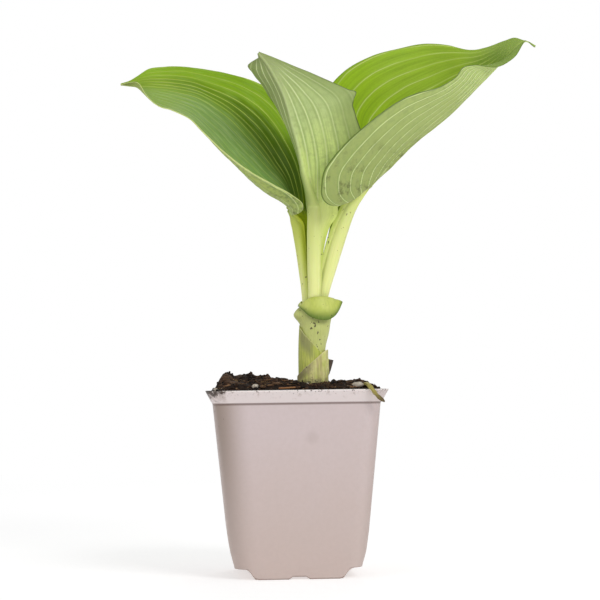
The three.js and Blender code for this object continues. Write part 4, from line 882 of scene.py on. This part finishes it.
def crumbShape():  # a cut octahedron: 18 points and 32 three-sided faces on a ball
    axes = np.array([[1, 0, 0], [0, 1, 0], [-1, 0, 0], [0, -1, 0], [0, 0, 1], [0, 0, -1]], float)
    corners = list(axes)
    faces = []
    middles = {}

    def middle(a, b):
        key = (min(a, b), max(a, b))
        if key not in middles:
            middles[key] = len(corners)
            corners.append(unit(corners[a] + corners[b]))
        return middles[key]

    for k in range(4):
        for pole, order in ((4, 1), (5, -1)):
            a, b, c = k, (k + 1) % 4, pole
            ab, bc, ca = middle(a, b), middle(b, c), middle(c, a)
            for f in ((a, ab, ca), (ab, b, bc), (ca, bc, c), (ab, bc, ca)):
                faces.append(f[::order])
    return np.array(corners), np.array(faces)


def turned(n):  # n random turns as matrices, from normalised random quaternions
    q = unit(rng.normal(size=(n, 4)))
    w, x, y, z = q.T
    return np.stack([1 - 2 * (y * y + z * z), 2 * (x * y - w * z), 2 * (x * z + w * y),
                     2 * (x * y + w * z), 1 - 2 * (x * x + z * z), 2 * (y * z - w * x),
                     2 * (x * z - w * y), 2 * (y * z + w * x), 1 - 2 * (x * x + y * y)], -1).reshape(n, 3, 3)


def scattered(n, limit):  # random places on the soil, clear of the stem
    spots = rng.uniform(-limit, limit, (n * 2, 2))
    away = np.hypot(spots[:, 0] - soil["stem"][0], spots[:, 1] - soil["stem"][1]) > loose["clearOfStem"]
    return spots[away][:n]


def crumbs(n, sizes):
    # Ball points pushed in and out at random, squashed and turned, each set on the soil's height
    ball, faces = crumbShape()
    spots = scattered(n, loose["crumbReach"])
    n = len(spots)
    size = rng.uniform(*sizes, (n, 1, 1)) * rng.uniform(0.6, 1.3, (n, 1, 3))
    push = rng.uniform(0.7, 1.25, (n, len(ball), 1))
    shape = np.einsum("nij,nkj->nki", turned(n), ball * size * push)
    z = soilHeight(spots[:, 0], spots[:, 1]) + size.mean((1, 2)) * loose["sink"]
    points = shape + np.concatenate([spots, z[:, None]], 1)[:, None]
    allFaces = faces[None] + (np.arange(n) * len(ball))[:, None, None]
    shade = np.repeat(rng.uniform(0, 1, n), len(ball))
    return points.reshape(-1, 3), allFaces.reshape(-1, 3), shade


def crumbPaint(name, dark, light):
    p = Paint(name)
    color = p.blend(p.attribute("shade"), dark, light)
    color = p.over(color, dark, p.fade(p.noise(1500, 4, 0.7), 0.35, 0.7, 0, 0.6))
    normal = p.bump(p.noise(2200, 4, 0.7), 0.6, 0.0004)
    return p.finish(color, 0.9, normal, Specular_IOR_Level=0.25)


points, faces, shade = crumbs(loose["crumbs"], loose["crumbSizes"])
crumbMaterial = crumbPaint("crumb_peat", tone(12, 8, 7), tone(82, 58, 42))
makePiece("soil_crumbs", points, faces, crumbMaterial, "soil", {"shade": shade}, (), False)


def ribbons(n, length, thick):
    # Thin four-sided cords along short bent paths that lie on the soil
    spots = scattered(n, loose["ribbonReach"])
    n = len(spots)
    steps = 7
    t = np.linspace(-0.5, 0.5, steps)
    heading = rng.uniform(0, 2 * math.pi, (n, 1))
    bend = rng.normal(0, 1.2, (n, 1))
    long = rng.uniform(*length, (n, 1))
    angle = heading + bend * t
    path = np.stack([spots[:, :1] + long * t * np.cos(angle), spots[:, 1:] + long * t * np.sin(angle)], -1)
    path = np.clip(path, -42.5, 42.5)
    z = soilHeight(path[..., 0], path[..., 1])
    z = 0.35 * z + 0.65 * z.mean(1, keepdims=True) + 0.25 + rng.uniform(0, 0.9, (n, 1)) * (2 * t) ** 2
    side = np.stack([-np.sin(angle), np.cos(angle), 0 * angle], -1)
    middle = np.concatenate([path, z[..., None]], -1)
    wide = rng.uniform(*thick, (n, 1, 1)) * (1 - 0.7 * np.abs(2 * t)[None, :, None] ** 3)
    up = np.array([0, 0, 1.0])
    over = up * wide * 0.5
    rings = np.stack([middle + side * wide, middle + over, middle - side * wide, middle - over], 2)
    ends = np.array([[3, 2, 1, 0], [0, 1, 2, 3]]) + [[0], [(steps - 1) * 4]]
    faces = np.concatenate([gridFaces(steps, 4), ends])
    allFaces = faces[None] + (np.arange(n) * steps * 4)[:, None, None]
    shade = np.repeat(rng.uniform(0, 1, n), steps * 4)
    return rings.reshape(-1, 3), allFaces.reshape(-1, 4), shade


for name, count, long, thick, paint in (
        ("soil_fibres", 170, (4, 13), (0.12, 0.4), ("fibre_tan", tone(62, 44, 32), tone(172, 136, 94))),
        ("soil_flakes", 120, (3, 8), (0.6, 1.3), ("flake_bark", tone(16, 10, 8), tone(150, 112, 80)))):
    points, faces, shade = ribbons(count, long, thick)
    makePiece(name, points, faces, crumbPaint(*paint), "soil", {"shade": shade})


chips = {  # size, turn and tilt of each loose piece
    "bark_chip_1": ((4.2, 3.2, 2), 40, 28), "bark_chip_2": ((4.4, 3.2, 1.8), -35, 20),
    "bark_chip_3": ((4.8, 3, 1.7), 70, 20), "bark_chip_4": ((4.2, 2.8, 1.5), 10, -18),
    "bark_chip_5": ((4.4, 3, 1.4), 50, 16), "perlite_grain_1": ((1.5, 1.3, 1.1), 15, 5),
    "perlite_grain_2": ((1.4, 1.2, 1.1), 40, 5), "perlite_grain_3": ((1.2, 1.1, 1), 75, 5),
    "pebble": ((2.4, 1.7, 1.3), 0, 0),
}
chipShape = {"around": 44, "rows": 21, "crumple": 0.28, "crumpleMm": 2.2, "barkSquareness": 0.6,
             "gritSquareness": 0.85, "seed": 60}


def chipBody(node, squareness, seed):
    # A squared ball, |cos|^squareness each way, crumpled by noise and laid at the CAD piece's own place
    size, turn, tilt = chips[node]
    low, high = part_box(node)
    a = np.linspace(0, 2 * math.pi, chipShape["around"], endpoint=False)
    e = np.linspace(-math.pi / 2, math.pi / 2, chipShape["rows"] + 2)[1:-1]

    def power(x):
        return np.sign(x) * np.abs(x) ** squareness

    ce, se = power(np.cos(e))[:, None], power(np.sin(e))[:, None]
    ball = np.stack([ce * power(np.cos(a)), ce * power(np.sin(a)), se + 0 * a], -1)
    points, faces = closedRings(ball, [0, 0, -1.0], [0, 0, 1.0])
    points = points * np.array(size)
    points = points * (1 + chipShape["crumple"] * roughness(points, chipShape["crumpleMm"], seed))[:, None]
    turn, tilt = np.radians(turn), np.radians(tilt)
    rx = np.array([[1, 0, 0], [0, math.cos(tilt), -math.sin(tilt)], [0, math.sin(tilt), math.cos(tilt)]])
    rz = np.array([[math.cos(turn), -math.sin(turn), 0], [math.sin(turn), math.cos(turn), 0], [0, 0, 1]])
    return points @ (rz @ rx).T + np.array((low + high) / 2) / mm, faces


def barkPaint():
    p = Paint("bark_brown")
    grain = p.grain(5, 0.7, 300, 900, 1400)
    color = p.blend(p.fade(grain, 0.3, 0.7), tone(40, 28, 21), tone(98, 70, 50))
    color = p.over(color, tone(128, 100, 76), p.fade(p.noise(600, 3, 0.6), 0.55, 0.75, 0, 0.6))
    normal = p.bump(grain, 0.8, 0.0006)
    return p.finish(color, 0.88, normal, Specular_IOR_Level=0.3)


def gritPaint():
    p = Paint("pale_grit")
    color = p.blend(p.fade(p.noise(900, 4, 0.6), 0.3, 0.7), tone(160, 146, 128), tone(222, 214, 200))
    color = p.over(color, tone(92, 74, 58), p.fade(p.noise(1700, 2, 0.6), 0.62, 0.7, 0, 0.6))
    normal = p.bump(p.noise(2600, 3, 0.7), 0.7, 0.0003)
    return p.finish(color, 0.85, normal)


print("loose pieces")
barkMaterial, gritMaterial = barkPaint(), gritPaint()
for k, name in enumerate(chips):
    kind, material = ("bark", barkMaterial) if name.startswith("bark") else ("grit", gritMaterial)
    body = chipBody(name, chipShape[kind + "Squareness"], chipShape["seed"] + k)
    makePiece(name + "_look", *body, material, kind, None, [name])


straws = {
    "straw": {
        "path": [[-9.5, -38.8, 94.3], [-4, -38.4, 94.5], [1.5, -37.8, 94.8]], "thick": 0.65, "flat": 0.6,
        "tones": (tone(150, 96, 52), tone(172, 118, 70), tone(120, 78, 46)), "seed": 30,
    },
    "dry_stalk": {
        "path": [[32.5, -29, 95.3], [34.2, -37, 95.9], [34.6, -42.6, 95.4], [35.6, -46.5, 93.9],
            [38.4, -46.9, 90.2], [42, -46.9, 87.1]],
        "thick": 1.05, "flat": 0.85,
        "tones": (tone(172, 158, 92), tone(170, 158, 78), tone(94, 78, 44)), "seed": 30,
    },
}


def strawBody(straw):
    # An oval ring carried along the path, ridged lengthwise and a little crooked
    t = np.linspace(0, 1, 70)
    path = straw["path"]
    here = curveAt(path, t)
    ahead = unit(curveAt(path, np.minimum(t + 0.01, 1)) - curveAt(path, np.maximum(t - 0.01, 0)))
    x = unit(np.cross([0, 0, 1.0], ahead))
    y = np.cross(ahead, x)
    a = np.linspace(0, 2 * math.pi, 22, endpoint=False)
    end = 1 - 0.5 * smooth(0.93, 1, t) - 0.35 * (1 - smooth(0, 0.05, t))
    r = straw["thick"] * end[:, None] * (1 + 0.1 * np.cos(5 * a)[None] + 0.05 * np.cos(9 * a + 1)[None])
    r = r * (1 + 0.16 * lumps(np.stack([t * 14, 0 * t, 0 * t], -1), 1, straw["seed"]))[:, None]
    rings = (here[:, None] + x[:, None] * (r * np.cos(a))[..., None]
             + y[:, None] * (straw["flat"] * r * np.sin(a))[..., None])
    along = np.concatenate([np.repeat(t, len(a)), [0, 1]])
    around = np.concatenate([np.tile(a, len(t)), [0, 0]])
    return *closedRings(rings, here[0], here[-1]), {"along": along, "around": around}


def strawPaint(name, low, middle, high):
    p = Paint(name)
    along, around = p.attribute("along"), p.attribute("around")
    fibre = p.streaks(around, 2.5, along, 5, 4, 0.6)
    color = p.blend(p.fade(along, 0.0, 0.45), low, middle)
    color = p.over(color, high, p.fade(along, 0.6, 0.97))
    color = p.over(color, high, p.fade(fibre, 0.45, 0.75, 0, 0.55))
    normal = p.bump(fibre, 0.7, 0.0003)
    return p.finish(color, 0.7, normal)


for name, straw in straws.items():
    points, faces, attributes = strawBody(straw)
    paint = strawPaint(name + "_paint", *straw["tones"])
    makePiece(name + "_look", points, faces, paint, "dry_stem", attributes, [name])


stem = {"x": 10, "y": 1, "foot": 91.2, "bend": 0.0021, "bendFrom": 108}
sheaths = {
    "sheath_lower": {"inner": 7.6, "outer": 8, "mid": 107, "swing": 6.5, "highAt": -10, "pleat": 2.7,
                     "seed": 21},
    "sheath_middle": {"inner": 6.9, "outer": 7.3, "mid": 119, "swing": 7.5, "highAt": 160, "pleat": 0,
                      "seed": 22},
}
pleat = {"turn": 358, "spread": 9, "from": 100.5, "tip": 108.3, "end": 109}
# bulges: how far out, the turn it is centred on and how widely it spreads
collar = {"skin": 0.45, "lipThick": 1, "width": 6.4, "widening": 1.25, "leftBulge": (3.5, 183, 34),
          "rightBulge": (2, 0, 60), "levels": [112, 122, 127, 131.5, 135]}
# the lip, for turns counted from the right towards the back: distance out and height of its low edge,
# then distance out and height of its crest
lipRows = [
    [-6, 13.9, 138.3, 9.6, 139.7], [6, 12.8, 138.2, 9.3, 139.7], [22, 10.8, 137.9, 9, 139.7],
    [45, 9.7, 138, 8.6, 139.6], [100, 9.3, 138.2, 8.4, 139.5], [150, 9.2, 137.8, 8.3, 139],
    [178, 8.9, 136.3, 8.1, 137.5], [200, 8.9, 136, 8.1, 137.2], [214, 9.1, 135, 8.2, 138.3],
    [228, 9.3, 133.8, 8.4, 139.2], [250, 9.6, 131.2, 8.7, 140.2], [270, 9.9, 129.8, 8.9, 140.5],
    [292, 10.3, 129.1, 9, 140.6], [315, 11.3, 129.5, 9.1, 140.5], [330, 12.5, 131.6, 9.3, 140.2],
    [342, 13.3, 134.7, 9.5, 140], [350, 13.7, 137.3, 9.6, 139.8], [354, 13.9, 138.3, 9.6, 139.7],
]


def stemPoint(out, turn, z):  # a point out from the stem's own bending middle
    x = stem["x"] + stem["bend"] * np.maximum(0, z - stem["bendFrom"]) ** 2
    a = np.radians(turn)
    return np.stack([x + out * np.cos(a), stem["y"] + out * np.sin(a), z + 0 * out], -1)


def sheathBody(sheath):
    # a thin sleeve with a slanting top edge: up the outside, over the edge and down the inside
    turn = np.linspace(0, 360, 240, endpoint=False)[:, None]
    level = np.concatenate([np.linspace(0, 0.4, 12), np.linspace(0.42, 0.9, 40), np.linspace(0.92, 1, 8)])
    level = level[None, :]
    top = sheath["mid"] + sheath["swing"] * np.cos(np.radians(turn - sheath["highAt"]))
    ring = np.stack([np.cos(np.radians(turn[:, 0])), np.sin(np.radians(turn[:, 0])), 0 * turn[:, 0]], -1)
    top = top + 0.35 * roughness(ring * 10, 3, sheath["seed"])[:, None]
    z = stem["foot"] + (top - stem["foot"]) * level
    away = (turn - pleat["turn"] + 540) % 360 - 180
    rise = np.clip((z - pleat["from"]) / (pleat["tip"] - pleat["from"]), 0, 1) ** 0.75
    fall = 1 - np.clip((z - pleat["tip"]) / (pleat["end"] - pleat["tip"]), 0, 1)
    fold = sheath["pleat"] * bell(away / pleat["spread"]) * rise * fall
    ribs = 0.07 * np.cos(np.radians(turn * 26)) + 0.05 * np.cos(np.radians(turn * 43 + 60))
    outer = stemPoint(sheath["outer"] + fold + ribs * (1 - 0.7 * level), turn, z)
    inner = stemPoint(sheath["inner"] + fold, turn, z)
    edge = stemPoint((sheath["outer"] + sheath["inner"]) / 2, turn, top + 0.12)
    rings = np.concatenate([outer, edge, inner[:, ::-1]], 1)
    below = top - z
    drop = np.concatenate([below, 0 * top, below[:, ::-1]], 1)
    pleated = np.concatenate([fold, 0 * top, fold[:, ::-1]], 1)
    attributes = {"drop": drop, "turn": turn + 0 * drop, "pleat": pleated}
    return rings, gridFaces(*rings.shape[:2], True), attributes


def collarWidth(turn, z):  # the collar's sheath from the stem's middle, with a bulge on the left and right
    def bulge(high, middle, spread):
        away = np.abs(turn - middle)
        return high * bell(np.minimum(away, 360 - away) / spread)

    left = bulge(*collar["leftBulge"]) * bell((z - 131.6) / 3.5)
    right = bulge(*collar["rightBulge"]) * smooth(112, 125, z) * (1 - smooth(132, 138, z))
    return collar["width"] + collar["widening"] * smooth(123, 138, z) + left + right


def collarBody():
    # one closed profile for each turn: up the wall, out under the lip, round its edge, back over it
    # and down the inside
    turn = np.linspace(0, 360, 260, endpoint=False)
    lowOut, lowZ, topOut, topZ = rowsAt(lipRows, np.where(turn > 354, turn - 360, turn)).T
    long = np.hypot(lowOut - topOut, lowZ - topZ)
    outBy, upBy = (lowOut - topOut) / long, (lowZ - topZ) / long
    thick = np.minimum(collar["lipThick"], 0.3 * long)
    one = 1 + 0 * turn

    def at(far, back):
        return topOut + outBy * far + upBy * back, topZ + upBy * far - outBy * back

    levels = [stem["foot"], *collar["levels"]]
    outer = [(collarWidth(turn, z), z * one) for z in levels]
    inner = [(collarWidth(turn, z) - collar["skin"], z * one) for z in levels[::-1]]
    inner[0] = (inner[0][0], inner[0][1] + 0.4)  # its top a little higher than the outside's
    fold = [
        (np.minimum(8, topOut - 0.5), topZ - 1.7), at(0.2 * long, thick),
        at(0.6 * long, thick - 0.05 * long), at(0.95 * long, 0.9 * thick),
        at(long + 0.2 * thick, 0.45 * thick), at(long, 0 * long),
        at(0.75 * long, -0.06 * long), at(0.4 * long, -0.07 * long), at(0.1 * long, -0.03 * long),
        (topOut - 0.6, topZ + 0.15), (7.6 * one, topZ - 0.5),
    ]
    profile = outer + fold + inner
    r = np.stack([p[0] for p in profile], -1)
    z = np.stack([p[1] for p in profile], -1)
    t = np.linspace(0, 1, 132)
    r = curveAt(r.T, t).T
    z = curveAt(z.T, t).T
    rings = stemPoint(r, turn[:, None] + 0 * r, z)
    k = t * (len(profile) - 1)
    shade = smooth(lowZ[:, None] - 3.5, lowZ[:, None] - 0.5, z) * (1 - smooth(10.4, 11, k))[None, :]
    onLip = (smooth(10, 11.5, k) * (1 - smooth(15, 16, k)))[None, :] + 0 * r
    flat = 0 * r
    attributes = {"lip": onLip, "shade": shade, "turn": turn[:, None] + flat, "high": z, "round": t + flat}
    return rings, gridFaces(*rings.shape[:2], True), attributes


def sheathPaint(name, look):
    # Pale green skin with fine upright lines, purple-brown at its foot, painted shade in the same
    # purple-brown where it is seen edge-on, and specks of soil
    p = Paint(name)
    drop, turn = p.attribute("drop"), p.attribute("turn")
    z = p.axes()[2]
    cloud = p.noise(140, 4, 0.6)
    lines = p.grain(3, 0.6, 1100, 1100, 60)
    color = p.blend(p.fade(cloud, 0.35, 0.65), look["main"], look["alt"])
    color = p.over(color, look["line"], p.fade(lines, 0.42, 0.68, 0, 0.65))
    uneven = p.plus(z, p.times(p.less(p.noise(260, 4, 0.7), 0.5), 0.018))
    color = p.over(color, look["foot"], p.fade(uneven, *look["footZ"], 1, 0), look["footShare"])
    patch = p.fade(drop, look["patchMm"] * 0.4, look["patchMm"], 1, 0)
    patch = p.times(patch, p.fade(cloud, 0.25, 0.5, 0.5, 1), p.band(turn, *look["patchTurns"]))
    color = p.over(color, look["patch"], patch, look["patchShare"])
    color = p.over(color, look["edge"], p.fade(drop, 0.1, 0.5, 1, 0), 0.6)
    dry = p.blend(p.fade(lines, 0.35, 0.7), tone(48, 36, 30), tone(104, 84, 66))
    color = p.over(color, dry, p.fade(p.attribute("pleat"), 0.1, 0.7))
    # painted shade in the foot's purple-brown where the sleeve is seen edge-on
    color = p.over(color, look["foot"], p.fade(p.grazing(), 0.4, 0.9, 0, 0.75))
    nearSoil = p.fade(z, 0.095, 0.101, 0.2, 0)
    color = p.over(color, tone(56, 44, 26), p.fade(p.plus(p.noise(520, 2, 0.5), nearSoil), 0.7, 0.74), 0.85)
    normal = p.bump(lines, 0.4, 0.0003)
    return p.finish(color, p.fade(cloud, 0.2, 0.8, 0.42, 0.6), normal, Subsurface_Weight=0.15,
                    Subsurface_Radius=(0.8, 1, 0.3), Subsurface_Scale=0.001)


print("sheaths")
lowerLook = {
    "main": tone(234, 230, 152), "alt": tone(206, 214, 108), "line": tone(176, 158, 108),
    "foot": tone(84, 64, 56), "footZ": (0.094, 0.1), "footShare": 0.85, "patch": tone(120, 100, 86),
    "patchMm": 6, "patchTurns": (180, 200, 245, 290), "patchShare": 0.6, "edge": tone(222, 214, 160),
}
middleLook = {
    "main": tone(196, 206, 84), "alt": tone(212, 216, 110), "line": tone(150, 160, 66),
    "foot": tone(96, 92, 54), "footZ": (0.094, 0.0985), "footShare": 0.3, "patch": tone(124, 120, 92),
    "patchMm": 11, "patchTurns": (190, 216, 250, 284), "patchShare": 0.65, "edge": tone(216, 216, 150),
}
for name, look in (("sheath_lower", lowerLook), ("sheath_middle", middleLook)):
    rings, faces, attributes = sheathBody(sheaths[name])
    makePiece(name + "_look", rings, faces, sheathPaint(name + "_paint", look), "sheath", attributes, [name])


def collarPaint():
    p = Paint("collar_paint")
    lip, high, turn = p.attribute("lip"), p.attribute("high"), p.attribute("turn")
    cloud = p.noise(120, 4, 0.6)
    lines = p.grain(3, 0.6, 1300, 1300, 70)
    clouded = p.fade(cloud, 0.3, 0.7)
    color = p.blend(clouded, tone(196, 202, 116), tone(206, 212, 132))
    color = p.over(color, p.blend(clouded, tone(188, 200, 84), tone(206, 214, 112)), p.fade(lip, 0.2, 0.8))
    # painted shade: the lip darkens towards its outer edge where it rolls under, and the wall right under it
    # is in deep green shade
    rim = p.times(p.fade(p.attribute("round"), 0.5, 0.58, 1, 0), p.fade(lip, 0.1, 0.3))
    color = p.over(color, tone(84, 116, 4), rim, 0.95)
    color = p.over(color, tone(100, 118, 20), p.attribute("shade"), 0.42)
    front = p.times(p.band(turn, 245, 258, 284, 296), p.fade(high, 119, 123), p.fade(lip, 0.1, 0.4, 1, 0))
    color = p.over(color, tone(160, 172, 78), p.fade(lines, 0.4, 0.75, 0, 0.3))
    speck = p.fade(p.plus(p.noise(520, 2, 0.5), p.times(front, 0.13)), 0.68, 0.71)
    color = p.over(color, tone(60, 46, 28), speck, 0.85)
    # painted shade where the surface is seen edge-on
    color = p.over(color, tone(110, 132, 30), p.fade(p.grazing(), 0.5, 0.95, 0, 0.5))
    normal = p.bump(lines, 0.35, 0.0003)
    return p.finish(color, p.fade(cloud, 0.2, 0.8, 0.4, 0.55), normal, Subsurface_Weight=0.2,
                    Subsurface_Radius=(0.8, 1, 0.3), Subsurface_Scale=0.0012)


rings, faces, attributes = collarBody()
makePiece("collar_look", rings, faces, collarPaint(), "sheath", attributes, ["sheath_collar"])


def rootPaint():
    p = Paint("root_flesh")
    color = p.blend(p.fade(p.noise(300, 4, 0.6), 0.3, 0.7), tone(206, 196, 150), tone(176, 160, 112))
    normal = p.bump(p.noise(800, 3, 0.6), 0.5, 0.0004)
    return p.finish(color, 0.7, normal)


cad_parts["crown_and_roots"].material_slots[0].material = rootPaint()


light = {"sky": 0.5, "floorGlow": 0.45, "floorHalf": 6}

print("stage")
floorMesh = bpy.data.meshes.new("floor")
h = light["floorHalf"]
floorMesh.from_pydata([(-h, -h, 0), (h, -h, 0), (h, h, 0), (-h, h, 0)], [], [(0, 1, 2, 3)])
floor = bpy.data.objects.new("floor", floorMesh)
bpy.context.scene.collection.objects.link(floor)
p = Paint("floor_white")
away = p.add("ShaderNodeVectorMath", p.place, operation="LENGTH").outputs["Value"]
far = p.fade(away, 0.25, 1.1)  # the floor fades into the white behind
glow = p.maths("MULTIPLY_ADD", far, 1 - light["floorGlow"], light["floorGlow"])
p.finish(p.blend(far, tone(226, 226, 226), (0, 0, 0, 1)), 1.0, Emission_Color=(1, 1, 1, 1),
         Emission_Strength=glow, Specular_IOR_Level=0.0)
floorMesh.materials.append(p.material)

world = bpy.data.worlds.new("studio")
bpy.context.scene.world = world
world.use_nodes = True
sky = world.node_tree
seen = sky.nodes.new("ShaderNodeLightPath")
strength = sky.nodes.new("ShaderNodeMapRange")  # the plain white that is seen, and the softer light it gives
strength.inputs["To Min"].default_value = light["sky"]
strength.inputs["To Max"].default_value = 1.0
sky.links.new(seen.outputs["Is Camera Ray"], strength.inputs["Value"])
sky.links.new(strength.outputs[0], sky.nodes["Background"].inputs[1])
sky.nodes["Background"].inputs[0].default_value = (1, 1, 1, 1)


lamps = {
    "key": {"place": (0.55, -0.9, 0.75), "aim": (0, 0, 0.15), "size": 0.5, "power": 5.0},
    "fill": {"place": (-0.8, -0.6, 0.5), "aim": (0, 0, 0.15), "size": 0.6, "power": 0.8},
    "back": {"place": (0.1, 0.9, 0.8), "aim": (0, 0, 0.2), "size": 0.6, "power": 2.0},
}
for name, lamp in lamps.items():
    data = bpy.data.lights.new(name, "AREA")
    data.shape = "DISK"
    data.size = lamp["size"]
    data.energy = lamp["power"]
    made = bpy.data.objects.new(name, data)
    bpy.context.scene.collection.objects.link(made)
    made.location = lamp["place"]
    heading = Vector(lamp["aim"]) - Vector(lamp["place"])
    made.rotation_euler = heading.to_track_quat("-Z", "Y").to_euler()

view = {"eye": (-49.7, -948.7, 96), "aim": (3.9, 0, 139.4), "lens": 111.1, "sensor": 36, "roll": -0.8}
eye, aim = np.array(view["eye"]) * mm, np.array(view["aim"]) * mm
ahead = unit(aim - eye)
rightward = unit(np.cross(ahead, [0, 0, 1.0]))
upward = np.cross(rightward, ahead)
c, d = math.cos(math.radians(view["roll"])), math.sin(math.radians(view["roll"]))
rightward, upward = c * rightward + d * upward, c * upward - d * rightward
cameraData = bpy.data.cameras.new("camera")
cameraData.lens = view["lens"]
cameraData.sensor_width = view["sensor"]
cameraData.clip_start = 0.01
camera = bpy.data.objects.new("camera", cameraData)
bpy.context.scene.collection.objects.link(camera)
rows = [[rightward[k], upward[k], -ahead[k], eye[k]] for k in range(3)]
camera.matrix_world = Matrix(rows + [[0, 0, 0, 1]])
bpy.context.scene.camera = camera
bpy.context.scene.view_settings.view_transform = "Standard"
